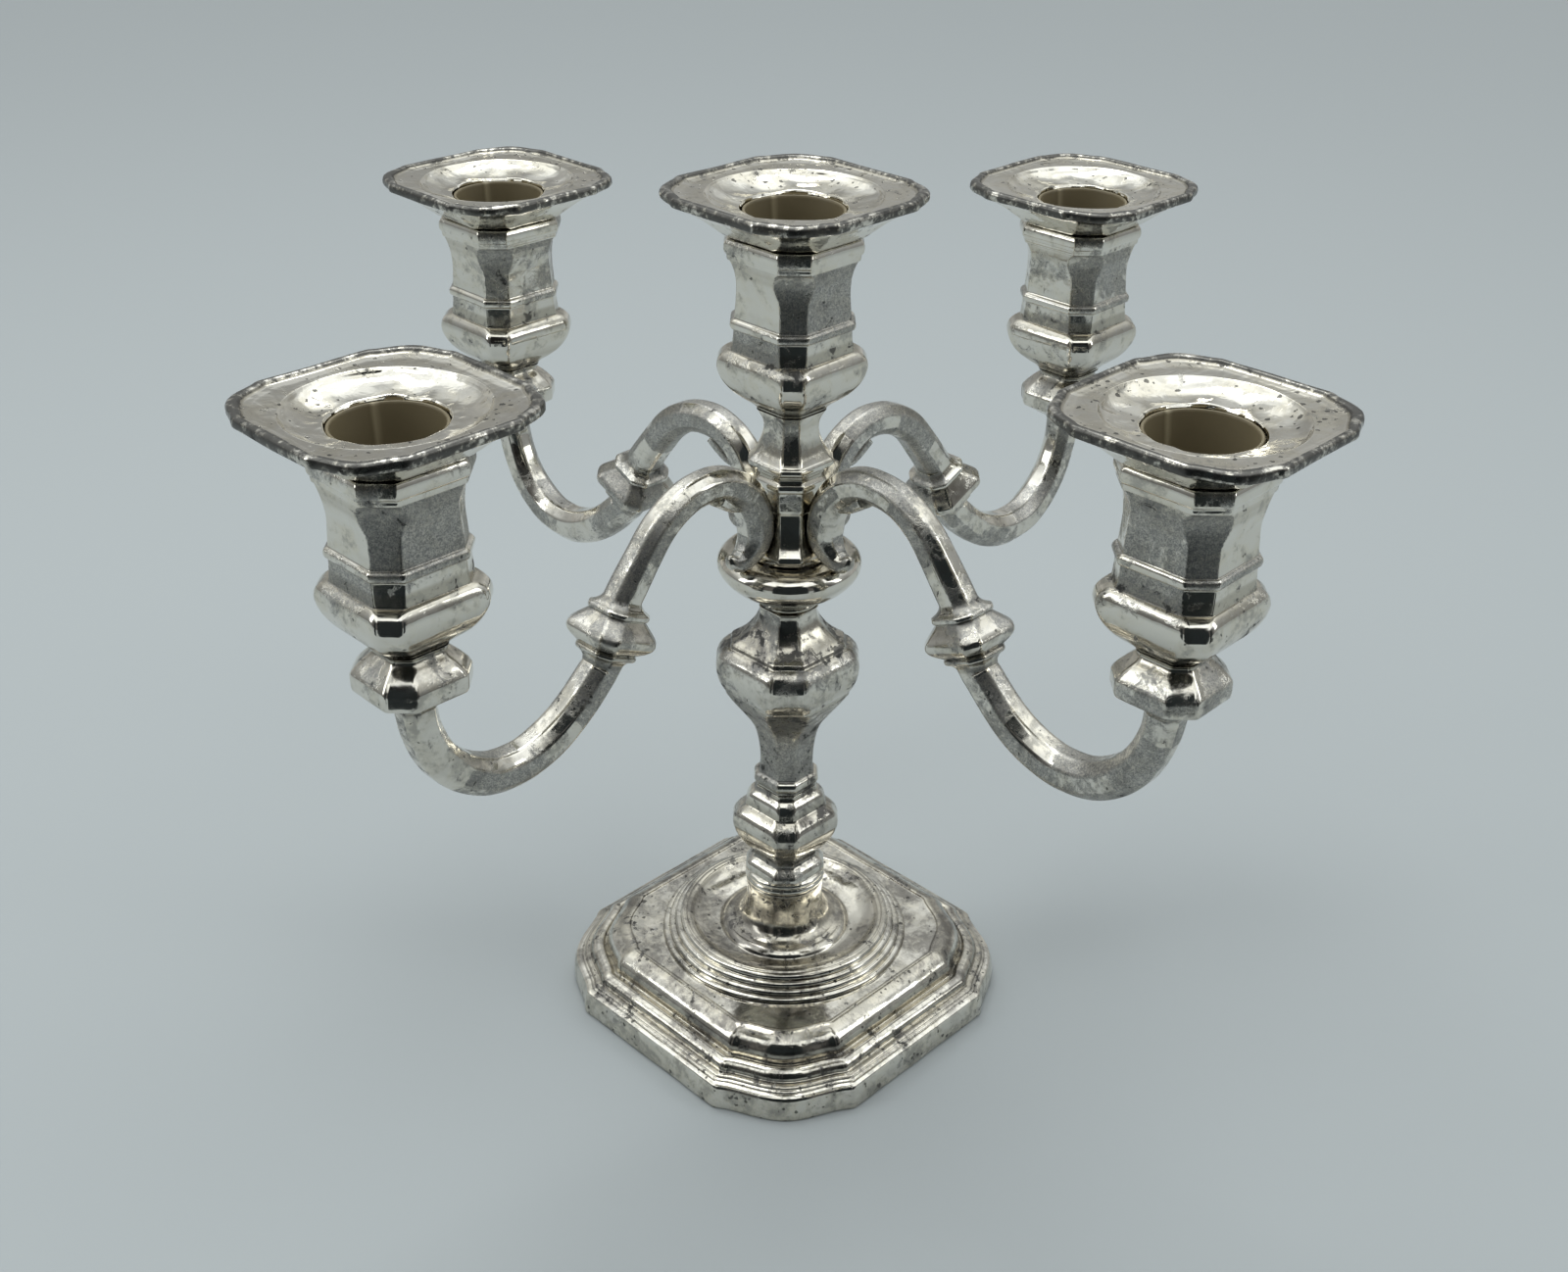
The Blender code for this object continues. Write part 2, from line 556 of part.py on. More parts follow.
# --------------------------------------------------------- cups, sleeves, pans
def cup(name, place):
    high = CUP_HEIGHT
    body = CUP_BODY_HALF
    pad = CUP_CUSHION_HALF
    lip = CUP_LIP_HALF
    rings = [canted(SEAT_HALF, SEAT_CANT, 0.0)]
    rings.append(canted(SEAT_HALF + 1.3, 3.2, 0.03 * high))
    rings.append(canted(0.74 * pad, 3.5, 0.085 * high))
    for half, z in bulge((0.935 * pad, 0.18 * high), (0.925 * pad, 0.33 * high), 1.1, 3):
        rings.append(canted(half, 3.8, z))
    rings.append(canted(body + 0.6, 4.6, 0.355 * high))
    rings.append(canted(body + 0.35, 4.9, 0.485 * high))
    for half, z in bulge((body + 0.7, 0.492 * high), (body + 0.5, 0.545 * high), 0.45, 2):
        rings.append(canted(half, 5.1, z))
    rings.append(canted(body + 0.1, 4.9, 0.555 * high))
    rings.append(canted(body, 5.0, 0.735 * high))
    rings.append(canted(body + 0.6, 5.2, 0.82 * high))
    rings.append(canted(lip - 1.0, 5.4, 0.875 * high))
    rings.append(canted(lip, 5.5, 0.93 * high))
    rings.append(canted(lip, 5.5, 0.97 * high))
    rings.append(canted(lip - 0.4, 5.5, high))
    mouth = sleeve_radius(-SLEEVE_PROUD)
    ledge = high + SLEEVE_PROUD - SLEEVE_LENGTH - GAP
    rings.append(disc(mouth + 1.3 * GAP, high))
    rings.append(disc(SLEEVE_BODY_R + 1.3 * GAP, high - 7.7))
    rings.append(disc(SLEEVE_BODY_R - 0.3 + 1.3 * GAP, ledge))
    rings.append(disc(0.78 * SLEEVE_BODY_R, ledge))
    rings.append(disc(0.74 * SLEEVE_BODY_R, CUP_FLOOR))
    rings.append(disc(SCREW_HOLE_R, CUP_FLOOR))
    rings.append(disc(SCREW_HOLE_R, 0.0))
    loft(name, rings, SILVER, place, pivot, hollow=True)


def sleeve_radius(z):
    """Outer radius of the sleeve at z below its mouth."""
    flare = SLEEVE_PROUD + 7.7
    if z < -flare:
        return SLEEVE_BODY_R
    return mix(SLEEVE_MOUTH_R, SLEEVE_BODY_R, -z / flare)


def sleeve(name, place):
    """Tapered tube whose in-turned foot carries the candle; its mouth guides the pan."""
    foot = -SLEEVE_LENGTH
    knee = -(SLEEVE_PROUD + 7.7)
    outer = [(SLEEVE_MOUTH_R, 0.0), (SLEEVE_BODY_R, knee), (SLEEVE_BODY_R - 0.3, foot)]
    seat = foot + SLEEVE_SEAT
    turned_in = [(SLEEVE_SEAT_R, foot), (SLEEVE_SEAT_R, seat)]
    inner = [(SLEEVE_BODY_R - 0.3 - SLEEVE_WALL, seat), (SLEEVE_BODY_R - SLEEVE_WALL, knee)]
    inner.append((SLEEVE_MOUTH_R - SLEEVE_WALL, 0.0))
    turned(name, outer + turned_in + inner, SLEEVE, 20, place, pivot, ring=True)


def cup_screw(name, place):
    """Pan-head screw; z = 0 is the underside of its head."""
    head = SCREW_HEAD_R
    tall = SCREW_HEAD_HEIGHT
    profile = [(0.0, tall), (0.6 * head, tall), (0.95 * head, 0.6 * tall), (head, 0.0)]
    profile += [(SCREW_R, 0.0), (SCREW_R, 0.8 - SCREW_LENGTH), (0.7 * SCREW_R, -SCREW_LENGTH)]
    profile.append((0.0, -SCREW_LENGTH))
    turned(name, profile, STEEL, 12, place, pivot)


def pan(name, place):
    """z = 0 is the face that sits on the cup lip."""
    corner, flat = 4, 1
    top = PAN_DEPTH

    def level(half, z):
        share = half / PAN_HALF
        return canted(half, PAN_CANT * share, z, PAN_BOW * share ** 2, corner, flat)

    throat = SLEEVE_MOUTH_R + GAP
    foot = CUP_LIP_HALF - 0.5
    rings = [canted(foot, 5.5, 0.0, 0.0, corner, flat)]
    rings.append(canted(foot + 2.0, 6.6, 0.10 * top, 0.4, corner, flat))
    rings.append(level(mix(foot, PAN_HALF, 0.50), 0.44 * top))
    rings.append(level(mix(foot, PAN_HALF, 0.82), 0.69 * top))
    rings.append(level(PAN_HALF - 0.5, top - PAN_RIM - 0.2))
    rings.append(level(PAN_HALF, top - PAN_RIM + 0.3))
    rings.append(level(PAN_HALF, top - 0.5))
    rings.append(level(PAN_HALF - 0.5, top))
    rings.append(level(PAN_HALF - 1.7, top))
    rings.append(level(PAN_HALF - 2.4, top - 0.9))
    rings.append(disc(0.79 * PAN_HALF, top - 1.7, corner, flat))
    rings.append(disc(mix(throat, 0.79 * PAN_HALF, 0.55), top - 2.3, corner, flat))
    rings.append(disc(mix(throat, 0.79 * PAN_HALF, 0.20), top - 3.6, corner, flat))
    rings.append(disc(throat, top - 5.3, corner, flat))
    rings.append(disc(throat, 0.0, corner, flat))
    loft(name, rings, SILVER, place, pivot, hollow=True)


def candle_place(label, x, y, foot):
    """Cup, screw, sleeve and pan on one axis, above a seat at height foot."""
    lip = foot + CUP_HEIGHT
    cup("cup_" + label, (x, y, foot))
    cup_screw("cup_screw_" + label, (x, y, foot + CUP_FLOOR + GAP))
    sleeve("candle_sleeve_" + label, (x, y, lip + SLEEVE_PROUD))
    pan("drip_pan_" + label, (x, y, lip + GAP))


base_shell()
base_cover()
tie_parts()
stem_knop()
stem_vase()
ball_cup()
branch_hub()
candle_place("centre", 0.0, 0.0, CENTRE_CUP_Z)
for label, degrees in (("right", 0), ("back", 90), ("left", 180), ("front", 270)):
    turn = math.radians(degrees)
    arm("arm_" + label, turn)
    x = round(math.cos(turn), 9) * ARM_REACH
    y = round(math.sin(turn), 9) * ARM_REACH
    candle_place(label, x, y, ARM_CUP_Z)
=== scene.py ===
"""Looks of the five-light candelabra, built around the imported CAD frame.

Every visible silver piece is rebuilt here as a fine mesh: sections square with cut
corners or round, lofted up a moulding profile.  Profiles are in millimetres."""
import math

import bpy
import numpy as np
from mathutils import Matrix, Vector, noise


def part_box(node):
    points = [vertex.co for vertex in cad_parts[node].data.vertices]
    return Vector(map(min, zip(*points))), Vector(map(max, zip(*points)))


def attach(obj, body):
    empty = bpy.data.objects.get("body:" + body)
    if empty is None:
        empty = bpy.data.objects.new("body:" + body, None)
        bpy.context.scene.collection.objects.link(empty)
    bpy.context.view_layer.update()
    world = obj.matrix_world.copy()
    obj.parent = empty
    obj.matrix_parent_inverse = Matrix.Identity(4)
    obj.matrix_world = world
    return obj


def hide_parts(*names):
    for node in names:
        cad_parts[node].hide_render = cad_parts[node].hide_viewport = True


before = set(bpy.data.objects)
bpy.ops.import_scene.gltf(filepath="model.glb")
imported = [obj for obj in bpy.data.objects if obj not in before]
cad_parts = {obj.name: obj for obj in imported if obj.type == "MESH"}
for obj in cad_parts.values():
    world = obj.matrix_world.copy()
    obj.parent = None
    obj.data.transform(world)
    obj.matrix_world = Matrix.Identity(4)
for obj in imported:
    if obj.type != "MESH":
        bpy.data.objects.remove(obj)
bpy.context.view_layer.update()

MM = 0.001
ROOT2 = math.sqrt(2)
ARRIS = 0.45            # rounding of a crisp arris
ROD_BORE_R = 3.0        # bore of the stem pieces, around the tie rod


# ------------------------------------------------------------------ geometry
def smooth_points(points, step=0.45):
    """Catmull-Rom through rows of numbers, about step apart in their first three."""
    rows = [np.array(p, float) for p in points]
    if len(rows) == 2:
        run = rows[1] - rows[0]
        count = max(1, int(math.ceil(np.linalg.norm(run[:3]) / (2.5 * step))))
        return [rows[0] + run * i / count for i in range(count)] + [rows[1]]
    rows = [2 * rows[0] - rows[1]] + rows + [2 * rows[-1] - rows[-2]]
    out = []
    for i in range(1, len(rows) - 2):
        a, b, c, d = rows[i - 1:i + 3]
        count = max(2, int(math.ceil(np.linalg.norm((c - b)[:3]) / step)))
        for k in range(count):
            t = k / count
            out.append(0.5 * (2 * b + (c - a) * t + (2 * a - 5 * b + 4 * c - d) * t * t
                              + (3 * b - a - 3 * c + d) * t ** 3))
    out.append(rows[-2])
    return out


def flat_rows(segments):
    """Segments of (width, height) pairs, given a middle number of nought."""
    return [[(a, 0.0, z) for a, z in segment] for segment in segments]


def join(segments, step=0.45):
    """Smooth each segment on its own, so that where two meet a crease stays."""
    rows = []
    for segment in segments:
        new = smooth_points(segment, step)
        if rows and np.allclose(rows[-1], new[0]):
            new = new[1:]
        rows.extend(new)
    return rows


def outline(half, cant, bow=0.0, edge=0.4, cut=1, flat=1):
    """Plan of a square with cut corners: rounded arrises, cut and flat inner points."""
    cant = max(cant, 0.05)
    quarter = []
    a = np.array((half, half - cant))
    b = np.array((half - cant, half))
    quarter.append((a, True))
    for i in range(1, cut + 1):
        t = i / (cut + 1)
        lift = bow * (0.5 - 0.5 * math.cos(2 * math.pi * t)) ** 0.8 / ROOT2
        quarter.append((a + (b - a) * t + lift, False))
    quarter.append((b, True))
    for i in range(1, flat + 1):
        t = i / (flat + 1)
        quarter.append((np.array((half - cant - 2 * (half - cant) * t, half)), False))
    points = []
    for k in range(4):
        c, s = (1, 0, -1, 0)[k], (0, 1, 0, -1)[k]
        for p, corner in quarter:
            points.append((np.array((p[0] * c - p[1] * s, p[0] * s + p[1] * c)), corner))
    out = []
    count = len(points)
    for i, (p, corner) in enumerate(points):
        if not corner:
            out.append(p)
            continue
        before = points[i - 1][0] - p
        after = points[(i + 1) % count][0] - p
        start = p + before * min(0.45, edge / max(np.linalg.norm(before), 1e-6))
        end = p + after * min(0.45, edge / max(np.linalg.norm(after), 1e-6))
        for t in (0.0, 0.25, 0.5, 0.75, 1.0):
            out.append(start * (1 - t) ** 2 + p * 2 * t * (1 - t) + end * t * t)
    return np.array(out)


def circle_like(plan, radius):
    """A circle whose points stand at the same bearings as those of plan."""
    bearing = np.arctan2(plan[:, 1], plan[:, 0])
    return np.stack((radius * np.cos(bearing), radius * np.sin(bearing)), 1)


def skin(name, rings, hollow=False, extra=None):
    """Mesh object from rings of equal count. A hollow one joins its last ring to its
    first, others are capped; extra holds further vertices and faces."""
    rings = np.array(rings)
    rows, count = rings.shape[:2]
    verts = rings.reshape(-1, 3)
    faces = []
    last = rows if hollow else rows - 1
    for r in range(last):
        low, high = r * count, ((r + 1) % rows) * count
        for i in range(count):
            j = (i + 1) % count
            faces.append((low + i, low + j, high + j, high + i))
    if not hollow:
        faces.append(tuple(reversed(range(count))))
        faces.append(tuple(range((rows - 1) * count, rows * count)))
    verts = [tuple(v * MM) for v in verts]
    if extra is not None:
        shift = len(verts)
        verts += [tuple(np.array(v) * MM) for v in extra[0]]
        faces += [tuple(i + shift for i in f) for f in extra[1]]
    mesh = bpy.data.meshes.new(name)
    mesh.from_pydata(verts, [], faces)
    mesh.validate()
    mesh.update()
    co = np.empty(len(mesh.vertices) * 3)
    mesh.vertices.foreach_get("co", co)
    co = co.reshape(-1, 3)
    mesh.calc_loop_triangles()
    tris = np.empty(len(mesh.loop_triangles) * 3, dtype=np.int64)
    mesh.loop_triangles.foreach_get("vertices", tris)
    tris = tris.reshape(-1, 3)
    sides = np.cross(co[tris[:, 1]], co[tris[:, 2]])
    if np.einsum("ij,ij->i", co[tris[:, 0]], sides).sum() < 0:
        mesh.flip_normals()
    mesh.polygons.foreach_set("use_smooth", [True] * len(mesh.polygons))
    thing = bpy.data.objects.new(name, mesh)
    bpy.context.scene.collection.objects.link(thing)
    weigh = thing.modifiers.new("normals", "WEIGHTED_NORMAL")
    weigh.weight = 80
    weigh.keep_sharp = True
    return thing


def facet_values(rings, groups, swept, chosen):
    """How frosted each facet is, by group of rows and by the side it looks to.
    chosen holds, for some groups, the numbers of the eight sides; swept is for arms,
    whose sections turn, while other pieces stand upright."""
    out = []
    for ring, group in zip(rings, groups):
        if swept:
            centre = ring.mean(axis=0)
            out_x, out_z = ring[:, 0] - centre[0], ring[:, 2] - centre[2]
            bearing = np.arctan2(ring[:, 1], np.hypot(out_x, out_z) * np.sign(out_z + 1e-9))
        else:
            ahead = np.roll(ring, -1, axis=0) - np.roll(ring, 1, axis=0)
            bearing = np.arctan2(-ahead[:, 0], ahead[:, 1])
        sector = np.round(bearing / (math.pi / 4)).astype(int) % 8
        if group in chosen:
            out.append(np.array(chosen[group])[sector])
        else:
            scattered = np.sin(sector * 12.9898 + group * 78.233 + 1.7) * 43758.5453
            out.append(np.abs(scattered) % 1.0)
    return np.concatenate(out)


def mark(thing, grime, patch=None):
    """Store the masks grime (recesses), wear (edges) and patch (facets) on the mesh."""
    mesh = thing.data
    count = len(mesh.vertices)
    co = np.empty(count * 3)
    mesh.vertices.foreach_get("co", co)
    co = co.reshape(-1, 3)
    normal = np.empty(count * 3)
    mesh.vertices.foreach_get("normal", normal)
    normal = normal.reshape(-1, 3)
    edges = np.empty(len(mesh.edges) * 2, dtype=np.int64)
    mesh.edges.foreach_get("vertices", edges)
    edges = edges.reshape(-1, 2)
    degree = np.bincount(edges.ravel(), minlength=count).astype(float)

    def around(values):
        total = np.zeros(values.shape)
        np.add.at(total, edges[:, 0], values[edges[:, 1]])
        np.add.at(total, edges[:, 1], values[edges[:, 0]])
        return total / np.maximum(degree, 1).reshape((-1,) + (1,) * (values.ndim - 1))

    length = np.linalg.norm(co[edges[:, 0]] - co[edges[:, 1]], axis=1)
    reach = np.zeros(count)
    np.add.at(reach, edges[:, 0], length)
    np.add.at(reach, edges[:, 1], length)
    reach = np.maximum(reach / np.maximum(degree, 1), 1e-7)
    bend = np.einsum("ij,ij->i", co - around(co), normal) / reach
    for _ in range(2):
        bend = 0.5 * bend + 0.5 * around(bend)
    wear = np.clip(bend * 4.0, 0, 1)
    hollow = np.clip(-bend * 5.0, 0, 1)
    full = np.zeros(count)
    full[:len(grime)] = grime
    full = np.clip(full + 0.8 * hollow, 0, 1)
    facet = np.full(count, 0.5)
    if patch is not None:
        facet[:len(patch)] = patch
    for name, values in (("grime", full), ("wear", wear), ("patch", facet)):
        layer = mesh.attributes.new(name, "FLOAT", "POINT")
        layer.data.foreach_set("value", values.astype(np.float32))


def recess(width, height, near=3.5, deep=3.0):
    """How far each row sits behind the widest row near it, 0..1."""
    width, height = np.array(width), np.array(height)
    out = np.zeros(len(width))
    for i in range(len(width)):
        close = np.abs(height - height[i]) < near
        out[i] = (width[close].max() - width[i]) / deep
    return np.clip(out, 0, 1) ** 1.5


def wobble(thing, amount, size, seed, within=None):
    """Slight hand-worked unevenness: each vertex moves along its normal.
    With within, only what lies in that radius and faces up moves."""
    mesh = thing.data
    normals = [v.normal.copy() for v in mesh.vertices]
    for v, n in zip(mesh.vertices, normals):
        if within is not None and (n.z < 0.35 or v.co.xy.length > within * MM):
            continue
        p = (v.co / MM + Vector((seed * 17.3, seed * 7.1, seed * 3.7))) / size
        v.co += n * (noise.noise(p) * amount * MM)
    mesh.update()


def canted_piece(name, segments, bore, soft, chosen=(), step=0.45):
    """Stem-like piece: (w, cant, z) rows, w the half width across the cut corners.
    soft gives the rounding of the arrises of some segments, by number."""
    rows, edges, groups = [], [], []
    for k, segment in enumerate(segments):
        new = smooth_points(segment, step)
        rows += new
        edges += [soft.get(k, ARRIS)] * len(new)
        groups += [k] * len(new)
    for _ in range(6):
        inner = [(a + b + c) / 3 for a, b, c in zip(edges, edges[1:], edges[2:])]
        edges = [edges[0]] + inner + [edges[-1]]
    rings = []
    for (w, cant, z), edge in zip(rows, edges):
        half = (w * ROOT2 + cant) / 2
        if cant <= 0:
            plan = circle_like(outline(w, 0.55 * w, 0.0, edge, 2, 3), w)
        else:
            plan = outline(half, cant, 0.0, min(edge, 0.42 * cant), 2, 3)
        rings.append(np.column_stack((plan, np.full(len(plan), z))))
    dirt = recess([r[0] for r in rows], [r[2] for r in rows])
    grime = np.repeat(dirt, len(rings[0]))
    for radius, z in bore:
        plan = circle_like(rings[0][:, :2], radius)
        rings.append(np.column_stack((plan, np.full(len(plan), z))))
    thing = skin(name, rings, hollow=True)
    mark(thing, grime, facet_values(rings[:len(groups)], groups, False, chosen))
    return thing


def turned_piece(name, segments, steps=96, step=0.45):
    """Round piece spun from (radius, z) rows."""
    rows = join(flat_rows(segments), step)
    bearing = np.linspace(0, 2 * math.pi, steps, endpoint=False)
    rings = []
    for r, _, z in rows:
        rings.append(np.stack((r * np.cos(bearing), r * np.sin(bearing), np.full(steps, z)), 1))
    thing = skin(name, rings, hollow=True)
    mark(thing, np.repeat(recess([r[0] for r in rows], [r[2] for r in rows]), steps))
    return thing


def place(thing, node, on_axis=False):
    """Stand the piece where its CAD node stands, and let it take its place."""
    low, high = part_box(node)
    x, y = (low[0] + high[0]) / 2, (low[1] + high[1]) / 2
    thing.location = (0.0, 0.0, low[2]) if on_axis else (x, y, low[2])
    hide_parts(node)
    return thing


# ------------------------------------------------------------------- pieces
# how frosted each side of a cup's body is: +X, then every 45 degrees towards +Y
FROSTED = {"front": (1.3, 0.6, 0.2, 0.7, 0.9, 0.3, -0.3, 1.2),
           "centre": (1.2, 0.8, 0.9, 0.2, 0.1, 0.3, -0.4, 0.7),
           "right": (-0.2, 0.4, 1.0, 0.9, 0.2, 0.3, 0.75, 1.2),
           "back": (0.5, 0.2, 0.7, 1.1, 0.6, 0.2, 0.3, 0.8),
           "left": (0.7, 0.5, 0.1, 0.6, 1.1, 0.9, 0.1, 0.9)}
CLEAN_SIDES = (0.15,) * 8
WORN_SIDES = (0.7,) * 8
GREY_SIDES = (1.1,) * 8


def make_cup(node):
    cushion = [(8.8, 3.0, 0.0), (9.0, 3.0, 0.4), (10.2, 3.2, 1.4), (12.3, 3.5, 2.7),
               (14.9, 3.8, 4.6), (16.9, 4.0, 6.8), (18.2, 4.0, 9.0), (18.8, 4.0, 11.1),
               (18.6, 4.0, 12.9), (17.9, 4.1, 14.2), (16.7, 4.2, 15.2), (15.6, 4.4, 15.6)]
    band = [(15.3, 4.5, 15.6), (15.05, 4.6, 16.0), (14.75, 4.8, 18.4), (14.55, 4.9, 21.2)]
    bead = [(14.7, 5.0, 21.4), (15.15, 5.1, 21.6), (15.45, 5.2, 22.4), (15.3, 5.2, 23.3),
            (14.8, 5.1, 23.8), (14.45, 5.0, 23.9)]
    body = [(14.35, 4.7, 24.1), (14.15, 4.7, 27.0), (13.98, 4.8, 29.6), (13.92, 5.2, 31.6),
            (13.95, 6.2, 33.4), (14.1, 7.0, 35.2), (14.5, 7.1, 36.9), (15.15, 6.5, 38.4),
            (15.6, 5.8, 39.0)]
    fillet = [(15.75, 5.7, 39.1), (16.1, 5.6, 39.25), (16.25, 5.6, 39.9), (16.3, 5.6, 40.5)]
    lip = [(16.4, 5.6, 40.6), (16.85, 5.6, 41.2), (17.0, 5.6, 42.2), (16.85, 5.6, 43.3),
           (16.4, 5.6, 44.1), (15.9, 5.6, 44.45), (15.0, 5.6, 44.5)]
    thing = canted_piece("silver_" + node, [cushion, band, bead, body, fillet, lip],
                         [(12.5, 44.5), (12.35, 44.2), (11.4, 36.8), (11.2, 18.3),
                          (8.6, 18.3), (8.1, 5.8), (2.3, 5.8), (2.3, 0.0)],
                         {0: 2.2}, {3: FROSTED[node.split("_")[1]], 0: CLEAN_SIDES})
    wobble(thing, 0.10, 9.0, len(node))
    return place(thing, node)


PAN_HALF, PAN_CANT, PAN_BOW = 27.4, 13.7, 3.3
FLANGE_HALF, FUNNEL_R = 23.2, 21.0


def make_pan(node, seed):
    under = [(14.3, 0.0), (14.9, 0.25), (16.2, 1.1), (18.4, 2.9), (21.2, 5.2),
             (23.8, 7.0), (25.6, 7.95), (26.6, 8.3)]
    rim = [(26.75, 8.35), (27.2, 8.6), (27.38, 9.1), (27.4, 9.7), (27.3, 10.35), (27.0, 10.8),
           (26.5, 11.0), (26.0, 11.0), (25.6, 10.85), (25.35, 10.5)]
    flange = [(25.2, 10.2), (24.8, 10.02), (24.0, 9.9), (FLANGE_HALF, 9.75)]
    rings, width, height = [], [], []

    def level(half, z):
        share = half / PAN_HALF
        plan = outline(half, PAN_CANT * share, PAN_BOW * share ** 3, 0.9, 9, 13)
        rings.append(np.column_stack((plan, np.full(len(plan), z))))
        width.append(half)
        height.append(z)

    def level_round(radius, z, squareness=0.0):
        share = 0.85
        plan = outline(FLANGE_HALF, PAN_CANT * share, PAN_BOW * share ** 3, 0.9, 9, 13)
        ring = circle_like(plan, radius)
        ring = ring * (1 - squareness) + plan * squareness
        rings.append(np.column_stack((ring, np.full(len(ring), z))))
        width.append(radius)
        height.append(z)

    for row in join(flat_rows((under, rim, flange)), 0.5):
        level(row[0], row[2])
    for k in range(1, 5):
        t = k / 5
        level_round(22.0, 9.75 - 0.1 * t, 1 - t)
    lip = [(22.0, 9.62), (21.85, 9.66), (21.7, 9.6)]
    funnel = [(21.6, 9.5), (21.2, 9.1), (20.4, 8.45), (19.2, 7.8), (17.6, 7.25), (15.9, 6.9),
              (14.5, 6.7), (13.5, 6.6)]
    bore = [(13.4, 6.6), (13.1, 6.5), (12.97, 6.2), (12.95, 5.6), (12.95, 0.0)]
    for row in join(flat_rows((lip, funnel, bore)), 0.5):
        level_round(row[0], row[2])
    thing = skin("silver_" + node, rings, hollow=True)
    dirt = np.zeros(len(rings))
    for i, (w, z) in enumerate(zip(width, height)):
        if z < 8.0 and w > 13.0:
            dirt[i] = 0.55 * (1 - z / 9.0)
        if w > 25.0 and z > 10.0 and w < 25.6:
            dirt[i] = 0.8
        if w > 26.4 and 8.3 < z < 10.9:
            dirt[i] = 0.35
    mark(thing, np.repeat(dirt, len(rings[0])))
    wobble(thing, 0.22, 14.0, seed)
    wobble(thing, 0.55, 6.0, seed + 9, FUNNEL_R)
    rim_dark = thing.data.attributes.new("rim", "FLOAT", "POINT")
    values = np.repeat([1.0 if (w > 25.2 and z > 8.2) else 0.0 for w, z in zip(width, height)],
                       len(rings[0]))
    rim_dark.data.foreach_set("value", values.astype(np.float32))
    return place(thing, node)


def make_sleeve(node):
    """Thin tapered liner with an in-turned foot and a narrow lap where its ends meet."""
    rows = [(7.8, 0.0), (10.7, 0.0), (11.0, 18.2), (12.6, 31.4), (12.6, 31.9), (12.3, 32.0),
            (11.9, 31.9), (11.85, 31.3), (10.2, 18.0), (9.92, 1.0), (7.8, 1.0)]
    lap_at, lap_half, lap_deep = math.radians(160), 0.045, 0.32
    steps = 96
    bearing = np.linspace(0, 2 * math.pi, steps, endpoint=False)
    fine = []
    for a, b in zip(rows, rows[1:]):
        fine += smooth_points([(a[0], 0.0, a[1]), (b[0], 0.0, b[1])], 1.0)[:-1]
    fine.append((rows[-1][0], 0.0, rows[-1][1]))
    lap = np.exp(-((bearing - lap_at) / lap_half) ** 4)
    rings = []
    inner_from = max(i for i, p in enumerate(fine) if p[0] > 12.25)
    for i, (r, _, z) in enumerate(fine):
        radius = r - lap * (lap_deep if i > inner_from and r > 9.9 else 0.0)
        rings.append(np.stack((radius * np.cos(bearing), radius * np.sin(bearing),
                               np.full(steps, z)), 1))
    thing = skin("liner_" + node, rings, hollow=True)
    mark(thing, np.zeros(len(rings) * steps))
    # the lap mask is stored as well; the liner's material paints a highlight along it
    strip = thing.data.attributes.new("lap", "FLOAT", "POINT")
    strip.data.foreach_set("value", np.tile(lap, len(rings)).astype(np.float32))
    return place(thing, node)


def bar_ring(x, z, run, half, cant, edge=0.85):
    """Section of an arm, square to run in the XZ plane."""
    side = np.array((-run[1], run[0]))
    plan = outline(half, cant, 0.0, min(edge, 0.36 * cant), 1, 1)
    return np.stack((x + side[0] * plan[:, 0], plan[:, 1], z + side[1] * plan[:, 0]), 1)


def sweep_rows(points, step, first=None, last=None):
    """Sections along (x, z, half width) points; first and last fix the end directions."""
    path = smooth_points(points, step)
    rings = []
    for i, spot in enumerate(path):
        before, after = path[max(i - 1, 0)], path[min(i + 1, len(path) - 1)]
        run = np.array((after[0] - before[0], after[1] - before[1]))
        run = run / np.linalg.norm(run)
        if i == 0 and first is not None:
            run = np.array(first)
        if i == len(path) - 1 and last is not None:
            run = np.array(last)
        rings.append(bar_ring(spot[0], spot[1], run, spot[2], 0.54 * spot[2]))
    return rings


FROST_RUN = 26          # sections of an arm that share one run of frost


